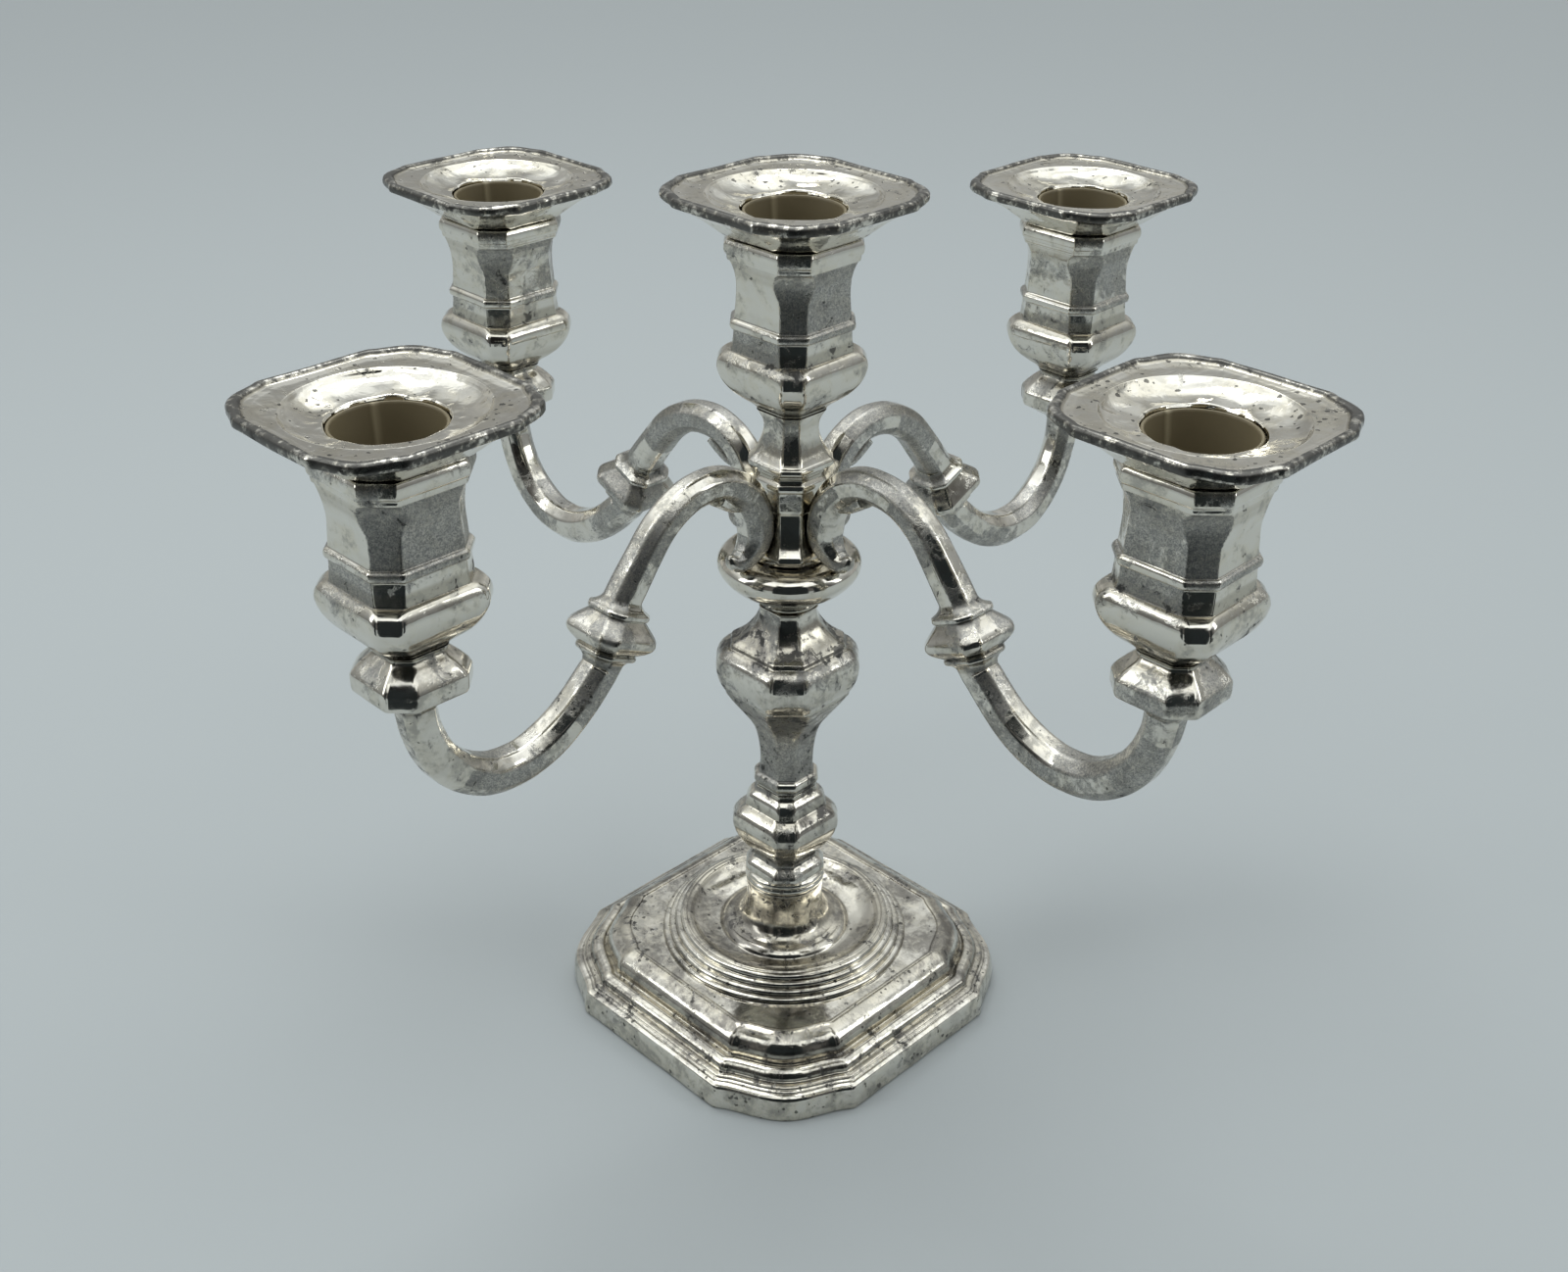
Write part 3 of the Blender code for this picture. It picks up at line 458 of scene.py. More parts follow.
def make_arm(node, turn):
    """One arm along +X, then turned: scroll, bar, tilted knop, U bend and seat."""
    x0, reach, half = 12.6, 117.7, 4.6
    span = reach - x0
    lean = math.radians(25)
    knop_run = np.array((math.sin(lean), -math.cos(lean)))
    knop_at = np.array((x0 + 0.459 * span, -0.9))
    tip = [(x0 + 8.5, 5.3, 0.5), (x0 + 8.5, 4.7, 1.2), (x0 + 8.1, 3.7, 1.9),
           (x0 + 6.9, 2.9, 2.5), (x0 + 5.1, 2.75, 2.95), (x0 + 3.2, 3.7, 3.35),
           (x0 + 1.4, 5.5, 3.95), (x0 + 0.25, 7.9, 4.35), (x0, 10.8, half),
           (x0 + 1.05, 16.0, half), (x0 + 4.9, 22.3, 4.45), (x0 + 10.9, 26.3, 4.3),
           (x0 + 17.5, 27.5, 4.22), (x0 + 24.9, 26.2, 4.22), (x0 + 32.4, 21.7, 4.3),
           (x0 + 38.4, 14.9, 4.45)]
    start = knop_at - knop_run * 8.6
    tip.append((start[0], start[1], half))
    rings = sweep_rows(tip, 0.7, last=knop_run)
    dirt = [0.0] * len(rings)
    knop = [
        [(-8.6, 4.6, 2.5), (-7.6, 4.9, 2.5), (-6.7, 5.6, 2.6), (-6.15, 6.45, 2.7)],
        [(-6.0, 6.7, 2.8), (-5.6, 6.85, 2.8), (-4.9, 6.8, 2.8), (-4.6, 6.5, 2.7)],
        [(-4.5, 6.2, 2.7), (-3.6, 6.8, 2.8), (-2.0, 8.1, 3.0), (-0.6, 9.1, 3.1),
         (0.5, 9.45, 3.1), (1.6, 9.3, 3.1), (2.8, 8.4, 3.0), (3.9, 7.0, 2.9), (4.35, 6.3, 2.8)],
        [(4.45, 6.5, 2.8), (4.8, 6.75, 2.8), (5.4, 6.75, 2.8), (5.75, 6.5, 2.7)],
        [(5.85, 6.2, 2.7), (6.5, 5.4, 2.6), (7.5, 4.85, 2.5), (9.0, 4.65, 2.5)]]
    rows = join(knop, 0.4)
    marks = recess([r[1] for r in rows], [r[0] for r in rows], 2.5, 2.5)
    for (s, size, cant), m in list(zip(rows, marks))[1:]:
        spot = knop_at + knop_run * s
        rings.append(bar_ring(spot[0], spot[1], knop_run, size, cant))
        dirt.append(m)
    leave = knop_at + knop_run * 9.0
    fork = [(leave[0], leave[1], 4.65), (x0 + 0.568 * span, -16.1, 4.75),
            (x0 + 0.632 * span, -20.8, 4.9), (x0 + 0.698 * span, -23.7, 4.98),
            (x0 + 0.760 * span, -24.7, 4.98), (x0 + 0.836 * span, -23.5, 4.9),
            (x0 + 0.907 * span, -18.9, 4.75), (x0 + 0.959 * span, -12.2, 4.55),
            (x0 + 0.990 * span, -4.0, 4.4), (reach, 3.0, 4.55)]
    more = sweep_rows(fork, 0.7, first=knop_run, last=(0.0, 1.0))[1:]
    rings += more
    dirt += [0.0] * len(more)
    seat = [
        [(3.0, 4.75, 2.4), (4.2, 5.3, 2.9), (5.2, 6.6, 3.6), (6.2, 8.2, 4.2), (7.3, 9.9, 4.7),
         (8.2, 11.1, 4.9)],
        [(8.4, 11.4, 4.95), (8.9, 11.6, 5.0), (10.2, 11.65, 5.0), (12.2, 11.6, 4.9)],
        [(12.5, 11.5, 4.9), (13.2, 11.1, 4.7), (14.4, 10.2, 4.4), (15.8, 8.9, 3.9),
         (16.9, 7.7, 3.4), (17.6, 7.1, 3.0), (18.2, 7.0, 2.9), (18.9, 7.35, 3.0), (19.2, 7.7, 3.0)]]
    rows = join(seat, 0.4)
    marks = recess([r[1] for r in rows], [r[0] for r in rows], 3.0, 3.5)
    up = np.array((0.0, 1.0))
    for (z, size, cant), m in zip(rows, marks):
        rings.append(bar_ring(reach, z, up, size, cant))
        dirt.append(m)
    for depth in (0.0, 10.0):
        rings.append(bar_ring(reach, 19.2 - depth, up, 2.3, 1.35))
        dirt.append(0.0)
    extra = spur(x0)
    thing = skin("silver_" + node, rings, extra=extra)
    groups = [i // FROST_RUN for i in range(len(rings))]
    mark(thing, np.repeat(dirt, len(rings[0])), facet_values(rings, groups, True, ()))
    wobble(thing, 0.16, 11.0, turn + 3)
    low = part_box("branch_hub")[0]
    thing.location = (0, 0, low[2])
    thing.rotation_euler = (0, 0, math.radians(90 * turn))
    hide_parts(node)
    return thing


def spur(x0):
    """The small hooked tongue in the crook of the scroll, as vertices and faces."""
    path = smooth_points([(x0 + 14.5, 23.6, 2.0), (x0 + 11.6, 21.3, 1.7), (x0 + 9.0, 19.4, 1.3),
                          (x0 + 7.0, 18.6, 0.95), (x0 + 5.9, 18.6, 0.6)], 0.5)
    verts, faces = [], []
    count = 0
    for i, spot in enumerate(path):
        before, after = path[max(i - 1, 0)], path[min(i + 1, len(path) - 1)]
        run = np.array((after[0] - before[0], after[1] - before[1]))
        run = run / np.linalg.norm(run)
        side = np.array((-run[1], run[0]))
        plan = outline(1.0, 0.5, 0.0, 0.2, 1, 1)
        count = len(plan)
        width = 3.5 * (spot[2] / 2.0) ** 0.35
        for a, b in plan:
            out = side * a * spot[2]
            verts.append((spot[0] + out[0], b * width, spot[1] + out[1]))
    for r in range(len(path) - 1):
        for i in range(count):
            j = (i + 1) % count
            faces.append((r * count + i, r * count + j, (r + 1) * count + j, (r + 1) * count + i))
    faces.append(tuple(reversed(range(count))))
    faces.append(tuple(range((len(path) - 1) * count, len(path) * count)))
    return verts, faces


def make_hub():
    foot = [(11.2, 0.0, 0.0), (11.5, 0.0, 0.4), (11.5, 0.0, 1.0)]
    bell = [(12.0, 4.2, 1.2), (12.15, 4.2, 1.9), (11.8, 4.1, 2.7), (11.2, 4.0, 3.3)]
    wall = [(10.9, 4.0, 3.5), (9.6, 3.9, 5.0), (8.7, 3.85, 7.0), (8.1, 3.85, 9.4),
            (7.85, 3.9, 11.6), (7.75, 3.9, 13.4)]
    panel = [(8.0, 4.1, 13.6), (8.0, 4.2, 19.3)]
    bead = [(8.1, 4.3, 19.5), (8.65, 4.4, 19.8), (8.9, 4.4, 20.6), (8.75, 4.4, 21.5),
            (8.2, 4.3, 22.1)]
    groove = [(8.0, 4.1, 22.3), (7.9, 4.1, 23.2), (8.3, 4.1, 23.5), (8.6, 4.0, 24.4)]
    ledge = [(9.2, 3.9, 24.7), (10.4, 3.7, 25.2), (10.9, 3.6, 25.8), (10.8, 3.5, 26.6),
             (10.3, 3.4, 27.1)]
    neck = [(10.1, 3.3, 27.2), (9.0, 3.1, 28.6), (8.0, 3.0, 30.6), (7.2, 2.9, 33.2),
            (6.95, 2.85, 35.6), (7.3, 2.85, 37.6), (8.2, 2.9, 39.3), (8.8, 3.0, 40.2)]
    bore = [(2.3, 40.2), (2.3, 30.2), (2.3, 22.0), (3.0, 18.0), (3.0, 0.0)]
    thing = canted_piece("silver_branch_hub", [foot, bell, wall, panel, bead, groove, ledge, neck],
                         bore, soft={2: 0.8, 7: 0.8})
    wobble(thing, 0.08, 8.0, 2)
    return place(thing, "branch_hub", on_axis=True)


def make_vase():
    foot = [(8.0, 3.4, 0.0), (7.9, 3.4, 0.5), (8.1, 3.4, 1.0)]
    bead = [(8.4, 3.5, 1.15), (8.85, 3.6, 1.8), (8.9, 3.6, 2.6), (8.6, 3.5, 3.5), (7.9, 3.5, 4.1)]
    trumpet = [(7.45, 3.4, 4.3), (7.3, 3.4, 6.0), (7.3, 3.5, 9.0), (7.5, 3.6, 12.5),
               (7.95, 3.8, 15.6), (8.6, 4.3, 18.6), (9.6, 5.2, 21.3), (11.3, 6.4, 24.2),
               (13.3, 7.6, 27.2), (15.1, 8.0, 29.6), (16.0, 7.7, 30.8)]
    edge = [(16.2, 7.3, 30.95), (16.6, 7.1, 31.2), (16.8, 7.0, 31.7)]
    knob = [(16.9, 6.9, 31.9), (17.9, 6.9, 33.4), (18.8, 6.9, 35.6), (19.3, 6.9, 38.2),
            (19.2, 6.8, 40.3), (18.5, 6.6, 42.3), (17.4, 6.2, 43.7), (16.1, 5.7, 44.6)]
    ledge = [(15.6, 5.4, 44.7), (15.4, 5.3, 45.2), (15.0, 5.2, 45.9)]
    neck = [(14.8, 5.1, 46.0), (13.2, 4.8, 46.9), (11.2, 4.4, 48.6), (9.5, 4.0, 50.6),
            (8.3, 3.7, 52.6), (7.7, 3.5, 54.6), (7.6, 3.5, 56.2), (7.9, 3.5, 57.0)]
    thing = canted_piece("silver_stem_vase", [foot, bead, trumpet, edge, knob, ledge, neck],
                         [(ROD_BORE_R, 57.0), (ROD_BORE_R, 0.0)], soft={2: 0.9, 4: 2.8, 6: 1.0},
                         chosen={2: GREY_SIDES, 4: WORN_SIDES})
    wobble(thing, 0.16, 10.0, 5)
    return place(thing, "stem_vase", on_axis=True)


def make_knop():
    flange = [(10.9, 0.0, 0.0), (11.2, 0.0, 0.35), (11.35, 0.0, 1.0), (11.2, 0.0, 1.7),
              (10.9, 0.0, 2.0)]
    line = [(10.9, 0.0, 2.15), (11.15, 0.0, 2.5), (11.1, 0.0, 3.1), (10.8, 0.0, 3.5)]
    cushion = [(10.9, 4.6, 3.7), (11.15, 4.2, 4.4), (11.0, 3.8, 5.6), (10.2, 3.5, 6.8),
               (9.3, 3.2, 7.7)]
    neck = [(8.9, 3.1, 8.0), (8.7, 3.0, 8.7), (8.9, 3.0, 9.6), (9.6, 3.0, 10.7)]
    knop = [(9.9, 3.4, 10.9), (11.6, 3.9, 12.6), (13.4, 4.3, 15.3), (14.5, 4.4, 18.0),
            (14.83, 4.4, 20.0), (14.5, 4.4, 21.9), (13.5, 4.2, 23.6), (12.1, 4.0, 24.9),
            (11.3, 3.9, 25.5)]
    shoulder = [(11.2, 3.2, 25.8), (10.95, 3.2, 26.8), (10.6, 3.1, 28.2), (9.9, 3.0, 29.4),
                (8.9, 2.9, 30.3)]
    top = [(8.6, 2.9, 30.5), (8.2, 2.8, 31.2), (8.0, 2.8, 32.1)]
    thing = canted_piece("silver_stem_knop", [flange, line, cushion, neck, knop, shoulder, top],
                         [(ROD_BORE_R, 32.1), (ROD_BORE_R, 0.0)], soft={2: 1.2, 4: 1.6, 5: 1.0})
    wobble(thing, 0.14, 8.0, 8)
    return place(thing, "stem_knop", on_axis=True)


def make_ball():
    foot = [(ROD_BORE_R, 0.0), (7.3, 0.0)]
    ring = [(7.6, 0.05), (7.9, 0.5), (7.85, 1.1), (7.6, 1.4)]
    ring2 = [(7.6, 1.5), (8.1, 1.9), (8.3, 2.5), (8.3, 2.9)]
    bowl = [(8.6, 3.0), (10.6, 3.5), (13.2, 4.9), (15.7, 6.7), (17.6, 8.6), (18.7, 10.3),
            (19.08, 11.7), (18.95, 12.9), (18.4, 13.9), (17.5, 14.7), (16.5, 15.1), (15.6, 15.28)]
    top = [(15.3, 15.3), (12.0, 15.3), (ROD_BORE_R, 15.3)]
    thing = turned_piece("silver_ball_cup", [foot, ring, ring2, bowl, top])
    wobble(thing, 0.12, 9.0, 4)
    return place(thing, "ball_cup", on_axis=True)


def make_base():
    """Canted levels from the floor to the ledge, round ones above, then the inside."""
    low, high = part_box("base_shell")
    half_max = (high[0] - low[0]) / 2 / MM
    ledge_half, ledge_cant, ledge_bow_share = 38.1, 17.1, 0.62
    bow_max, cant_max = 4.9, 27.0
    rings, width, height = [], [], []

    def add(plan, reach, z):
        rings.append(np.column_stack((plan, np.full(len(plan), z))))
        width.append(reach)
        height.append(z)

    def level(half, z):
        share = (half - ledge_half) / (half_max - ledge_half)
        cant = ledge_cant + (cant_max - ledge_cant) * share
        bow = bow_max * (ledge_bow_share + (1 - ledge_bow_share) * share)
        add(outline(half, cant, bow, 0.9, 11, 13), half, z)

    def level_round(radius, z):
        add(circle_like(ledge_plan, radius), radius, z)

    band = [(53.75, 0.0), (53.8, 0.4), (53.8, 2.2), (53.73, 3.6), (53.55, 4.8), (53.3, 5.9),
            (52.95, 6.7)]
    slope = [(52.9, 6.75), (52.3, 7.05), (51.6, 7.2)]
    line = [(51.5, 7.2), (51.4, 7.5), (50.9, 7.65)]
    line2 = [(50.7, 7.68), (50.65, 8.05), (50.2, 8.3)]
    shelf = [(50.0, 8.3), (49.2, 8.35)]
    line3 = [(49.2, 8.38), (49.2, 8.6), (49.0, 8.75)]
    torus = [(48.95, 8.8), (48.85, 9.6), (48.3, 10.45), (47.4, 11.1), (46.3, 11.3), (45.5, 11.0)]
    groove = [(45.3, 10.7), (44.9, 10.6)]
    fillet = [(44.85, 10.65), (44.65, 11.0)]
    ovolo = [(44.5, 11.05), (44.45, 12.2), (44.0, 13.7), (42.9, 15.3), (41.3, 16.5),
             (39.7, 17.2), (38.9, 17.35), (38.4, 17.3)]
    step = [(38.3, 17.25), (38.2, 16.95), (37.9, 16.85)]
    ledge = [(37.7, 16.85), (36.4, 16.85)]
    outer = [band, slope, line, line2, shelf, line3, torus, groove, fillet, ovolo, step, ledge]
    for row in join(flat_rows(outer), 0.6):
        level(row[0], row[2])
    ledge_plan = rings[-1][:, :2]
    steps = 4
    pitch, rise = (35.3 - 28.5) / steps, (22.8 - 17.3) / steps
    rounds = [[(36.0, 16.85), (35.4, 16.9)]]
    step_shape = ((0.0, 0.0), (0.02, 0.5), (0.25, 0.92), (0.65, 1.04), (0.98, 0.98))
    for i in range(steps):
        r, z = 35.3 - pitch * i, 17.0 + rise * i
        rounds.append([(r - a * pitch, z + b * rise) for a, b in step_shape])
    rounds.append([(28.4, 22.75), (27.7, 22.85), (27.0, 22.6), (26.3, 22.0), (25.0, 21.0),
                   (22.6, 19.8), (20.4, 19.2), (18.9, 19.0)])
    rounds.append([(18.6, 19.1), (18.1, 19.8), (17.2, 20.5), (16.2, 20.9), (15.0, 21.1)])
    rounds.append([(14.8, 21.15), (13.2, 21.9), (12.0, 23.2), (11.2, 25.2), (10.85, 27.6),
                   (10.8, 30.0), (10.8, 34.5), (10.5, 34.9), (3.2, 34.9)])
    for segment in flat_rows(rounds):
        for row in smooth_points(segment, 0.5):
            level_round(row[0], row[2])
    for radius, z in [(ROD_BORE_R, 34.8), (ROD_BORE_R, 33.5), (9.4, 33.4), (9.4, 25.0),
                      (12.2, 20.4), (16.4, 18.0), (20.7, 17.6), (27.0, 19.2), (33.3, 16.7)]:
        level_round(radius, z)
    for half, z in [(36.6, 15.9), (41.5, 13.8), (43.0, 9.8), (44.6, 6.65), (49.5, 6.6),
                    (49.5, 4.6), (51.8, 1.6), (52.4, 0.0)]:
        level(half, z)
    thing = skin("silver_base_shell", rings, hollow=True)
    dirt = recess(width, height, 2.5, 3.5)
    for i, (w, z) in enumerate(zip(width, height)):
        if 16.8 < z < 22.5 and 27 < w < 38:
            dirt[i] = 0.30
        if 18.9 <= z < 22.0 and 17 < w < 27:
            dirt[i] = 0.42
        if w < 14.0 and z > 21:
            dirt[i] = 0.85
    mark(thing, np.repeat(dirt, len(rings[0])))
    wobble(thing, 0.22, 13.0, 6)
    return place(thing, "base_shell", on_axis=True)


PLACES = ("centre", "front", "right", "back", "left")
TURNS = {"right": 0, "back": 1, "left": 2, "front": 3}
silver, sleeves = [], []
for k, spot in enumerate(PLACES):
    cup = make_cup("cup_" + spot)
    pan = make_pan("drip_pan_" + spot, k + 1)
    sleeve = make_sleeve("candle_sleeve_" + spot)
    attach(cup, "branch")
    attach(sleeve, "branch")
    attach(pan, "pan_" + spot)
    silver += [cup, pan]
    sleeves.append(sleeve)
for spot, turn in TURNS.items():
    arm = make_arm("arm_" + spot, turn)
    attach(arm, "branch")
    silver.append(arm)
hub = make_hub()
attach(hub, "branch")
silver.append(hub)
for thing in (make_base(), make_knop(), make_vase(), make_ball()):
    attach(thing, "stand")
    silver.append(thing)


# ---------------------------------------------------------------- materials
class Nodes:
    """Short hand for wiring the node tree of a material or a world."""

    def __init__(self, owner):
        owner.use_nodes = True
        self.tree = owner.node_tree
        self.shader = self.tree.nodes.get("Principled BSDF")

    def add(self, kind, **values):
        node = self.tree.nodes.new(kind)
        for key, value in values.items():
            setattr(node, key, value)
        return node

    def link(self, source, target):
        self.tree.links.new(source, target)

    def noise(self, vector, scale, detail=4.0, rough=0.55, distort=0.0):
        node = self.add("ShaderNodeTexNoise")
        node.inputs["Scale"].default_value = scale
        node.inputs["Detail"].default_value = detail
        node.inputs["Roughness"].default_value = rough
        node.inputs["Distortion"].default_value = distort
        self.link(vector, node.inputs["Vector"])
        return node.outputs["Fac"]

    def ramp(self, value, low, high):
        """Smooth from 0 at low to 1 at high; low may be the larger."""
        node = self.add("ShaderNodeMapRange", interpolation_type="SMOOTHSTEP")
        node.inputs["From Min"].default_value = min(low, high)
        node.inputs["From Max"].default_value = max(low, high)
        if low > high:
            node.inputs["To Min"].default_value = 1.0
            node.inputs["To Max"].default_value = 0.0
        self.link(value, node.inputs["Value"])
        return node.outputs["Result"]

    def math(self, operation, a, b=None, clamp=False):
        node = self.add("ShaderNodeMath", operation=operation, use_clamp=clamp)
        for socket, value in ((node.inputs[0], a), (node.inputs[1], b)):
            if value is None:
                continue
            if isinstance(value, (int, float)):
                socket.default_value = value
            else:
                self.link(value, socket)
        return node.outputs[0]

    def colour(self, factor, a, b, blend="MIX"):
        node = self.add("ShaderNodeMix", data_type="RGBA", blend_type=blend)
        for socket, value in ((node.inputs[0], factor), (node.inputs[6], a), (node.inputs[7], b)):
            if isinstance(value, (int, float)):
                socket.default_value = value
            elif isinstance(value, tuple):
                socket.default_value = (*value, 1.0)
            else:
                self.link(value, socket)
        return node.outputs[2]

    def attribute(self, name):
        return self.add("ShaderNodeAttribute", attribute_name=name).outputs["Fac"]

    def bump(self, height, strength, distance):
        node = self.add("ShaderNodeBump")
        node.inputs["Strength"].default_value = strength
        node.inputs["Distance"].default_value = distance
        self.link(height, node.inputs["Height"])
        self.link(node.outputs["Normal"], self.shader.inputs["Normal"])


SILVER = (0.78, 0.75, 0.675)
YELLOW = (0.75, 0.705, 0.595)
WARM = (0.60, 0.535, 0.39)
HAZE = (0.33, 0.325, 0.305)
FROST = (0.26, 0.258, 0.25)
STAIN = (0.085, 0.083, 0.080)
SPECK = (0.055, 0.053, 0.050)
SMOKE = (0.175, 0.163, 0.150)
TARNISH = (0.095, 0.093, 0.088)


def silver_material(name, seed, haze=0.5, frost=0.5, stain=0.5, speck=0.5, rim=0.0, edge=0.0,
                    smoke=0.0, crinkle=0.0):
    """Worn silver plate: grey haze, frosted facets, sooty stains, pits, warm recesses.
    Each amount runs from 0, none, to about 1, most of the surface."""
    made = bpy.data.materials.new(name)
    n = Nodes(made)
    coords = n.add("ShaderNodeTexCoord").outputs["Object"]
    shift = n.add("ShaderNodeMapping")
    shift.inputs["Location"].default_value = (0.37 * seed, 0.71 * seed, 0.19 * seed)
    n.link(coords, shift.inputs["Vector"])
    at = shift.outputs["Vector"]
    grime, wear = n.attribute("grime"), n.attribute("wear")
    broad = n.noise(at, 48.0, 3.0, 0.5, 0.6)
    cloud = n.noise(at, 130.0, 5.0, 0.6, 0.4)
    fine = n.noise(at, 520.0, 4.0, 0.65)
    grain = n.noise(at, 1700.0, 3.0, 0.7, 1.5)
    ragged = n.noise(at, 300.0, 6.0, 0.75, 0.5)

    # masks
    hazy = n.math("ADD", n.math("MULTIPLY", cloud, 0.6), n.math("MULTIPLY", fine, 0.4))
    hazy = n.ramp(hazy, 0.585 - 0.17 * haze, 0.70 - 0.15 * haze)
    hazy = n.math("ADD", hazy, n.math("MULTIPLY", n.ramp(grime, 0.1, 0.9), 0.6), clamp=True)
    frosted = n.math("ADD", n.math("MULTIPLY", broad, 0.55), n.math("MULTIPLY", ragged, 0.45))
    frosted = n.math("ADD", frosted, n.math("MULTIPLY", n.attribute("patch"), 0.22))
    frosted = n.ramp(frosted, 0.72 - 0.20 * frost, 0.80 - 0.20 * frost)
    frosted = n.math("MULTIPLY", frosted, n.ramp(wear, 0.45, 0.10))
    sooty = n.math("ADD", n.math("MULTIPLY", ragged, 0.62), n.math("MULTIPLY", cloud, 0.38))
    sooty = n.math("ADD", sooty, n.math("MULTIPLY", grime, 0.05))
    sooty = n.ramp(sooty, 0.655 - 0.10 * stain, 0.685 - 0.10 * stain)
    bent = n.add("ShaderNodeMixRGB")
    bent.inputs["Fac"].default_value = 0.0012
    n.link(at, bent.inputs["Color1"])
    warp = n.add("ShaderNodeTexNoise")
    warp.inputs["Scale"].default_value = 900.0
    n.link(at, warp.inputs["Vector"])
    n.link(warp.outputs["Color"], bent.inputs["Color2"])
    cells = n.add("ShaderNodeTexVoronoi")
    cells.inputs["Scale"].default_value = 520.0
    n.link(bent.outputs["Color"], cells.inputs["Vector"])
    pick = n.add("ShaderNodeSeparateColor")
    n.link(cells.outputs["Color"], pick.inputs[0])
    reach = n.math("SUBTRACT", n.math("MULTIPLY", pick.outputs[0], 0.60), 0.56 - 0.30 * speck)
    reach = n.math("SUBTRACT", reach, n.math("MULTIPLY", n.ramp(cloud, 0.58, 0.42), 0.14))
    pits = n.math("GREATER_THAN", reach, cells.outputs["Distance"])

    # colour
    colour = n.colour(n.ramp(cloud, 0.40, 0.62), SILVER, YELLOW)
    colour = n.colour(n.math("MULTIPLY", n.ramp(grime, 0.15, 0.95), 0.6), colour, WARM)
    colour = n.colour(n.math("MULTIPLY", hazy, 0.62), colour, HAZE)
    if smoke:
        smoky = n.math("MULTIPLY", n.noise(at, 62.0, 5.0, 0.65, 0.8), 0.6)
        sooted = n.math("ADD", smoky, n.math("MULTIPLY", ragged, 0.4))
        sooted = n.math("MULTIPLY", n.ramp(sooted, 0.45, 0.60), smoke)
        deep = n.math("ADD", n.math("MULTIPLY", n.ramp(grime, 0.0, 0.4), 0.7), 0.3)
        sooted = n.math("MULTIPLY", sooted, deep)
        colour = n.colour(sooted, colour, SMOKE)
    grainy = n.math("ADD", n.math("MULTIPLY", n.ramp(grain, 0.40, 0.58), 0.62), 0.34)
    colour = n.colour(n.math("MULTIPLY", frosted, grainy), colour, FROST)
    colour = n.colour(n.math("MULTIPLY", sooty, 0.80), colour, STAIN)
    colour = n.colour(n.math("MULTIPLY", pits, 0.8), colour, SPECK)
    rough = n.math("ADD", n.math("MULTIPLY", hazy, 0.12), n.math("MULTIPLY", frosted, 0.27))
    rough = n.math("ADD", rough, n.math("MULTIPLY", sooty, 0.22))
    rough = n.math("ADD", rough, n.math("MULTIPLY", fine, 0.08))
    if edge:
        line = n.math("MULTIPLY", n.ramp(wear, 0.25, 0.8), n.ramp(fine, 0.40, 0.56))
        line = n.math("MULTIPLY", line, edge)
        colour = n.colour(line, colour, STAIN)
    if rim:
        band = n.attribute("rim")
        black = n.math("ADD", n.math("MULTIPLY", fine, 0.6), n.math("MULTIPLY", cloud, 0.4))
        black = n.math("MULTIPLY", n.math("MULTIPLY", n.ramp(black, 0.37, 0.52), band), rim)
        colour = n.colour(black, colour, TARNISH)
        rough = n.math("ADD", rough, n.math("MULTIPLY", black, 0.25))
    rough = n.math("ADD", rough, 0.045, clamp=True)
    n.link(colour, n.shader.inputs["Base Color"])
    n.link(rough, n.shader.inputs["Roughness"])
    n.shader.inputs["Metallic"].default_value = 1.0

    # relief: hand-worked swell, orange peel, crinkled frost, sunk stains
    swell = n.noise(at, 110.0, 2.0, 0.5)
    relief = n.math("ADD", n.math("MULTIPLY", swell, 0.5), n.math("MULTIPLY", fine, 0.035))
    if crinkle:
        creases = n.noise(at, 260.0, 2.0, 0.55, 0.6)
        relief = n.math("ADD", relief, n.math("MULTIPLY", creases, crinkle))
    crystals = n.math("MULTIPLY", grain, frosted)
    relief = n.math("ADD", relief, n.math("MULTIPLY", crystals, 0.16))
    relief = n.math("SUBTRACT", relief, n.math("MULTIPLY", sooty, 0.035))
    relief = n.math("SUBTRACT", relief, n.math("MULTIPLY", pits, 0.04))
    n.bump(relief, 0.7, 0.0005)
    return made


def liner_material():
    """Olive-beige plastic, with a painted highlight: paler in the narrow strip along the lap."""
    made = bpy.data.materials.new("liner_olive")
    n = Nodes(made)
    coords = n.add("ShaderNodeTexCoord").outputs["Object"]
    soft = n.noise(coords, 90.0, 4.0)
    fine = n.noise(coords, 900.0, 2.0)
    colour = n.colour(soft, (0.155, 0.125, 0.070), (0.215, 0.178, 0.105))
    # painted highlight: the narrow strip along the lap is made paler
    colour = n.colour(n.math("MULTIPLY", n.attribute("lap"), 0.9), colour, (0.36, 0.31, 0.20))
    n.link(colour, n.shader.inputs["Base Color"])
    n.link(n.math("ADD", n.math("MULTIPLY", fine, 0.15), 0.42), n.shader.inputs["Roughness"])
    n.bump(fine, 0.15, 0.0001)
    return made


def plain_metal(name, colour, dark, roughness):
    """Hidden fittings: machined metal with oxide clouds."""
    made = bpy.data.materials.new(name)
    n = Nodes(made)
    coords = n.add("ShaderNodeTexCoord").outputs["Object"]
    cloud = n.noise(coords, 160.0, 5.0, 0.6)
    fine = n.noise(coords, 1500.0, 2.0)
    n.link(n.colour(n.ramp(cloud, 0.42, 0.66), colour, dark), n.shader.inputs["Base Color"])
    rough = n.math("ADD", n.math("MULTIPLY", fine, 0.2), roughness - 0.1)
    n.link(rough, n.shader.inputs["Roughness"])
    n.shader.inputs["Metallic"].default_value = 1.0
    n.bump(fine, 0.3, 0.0001)
    return made


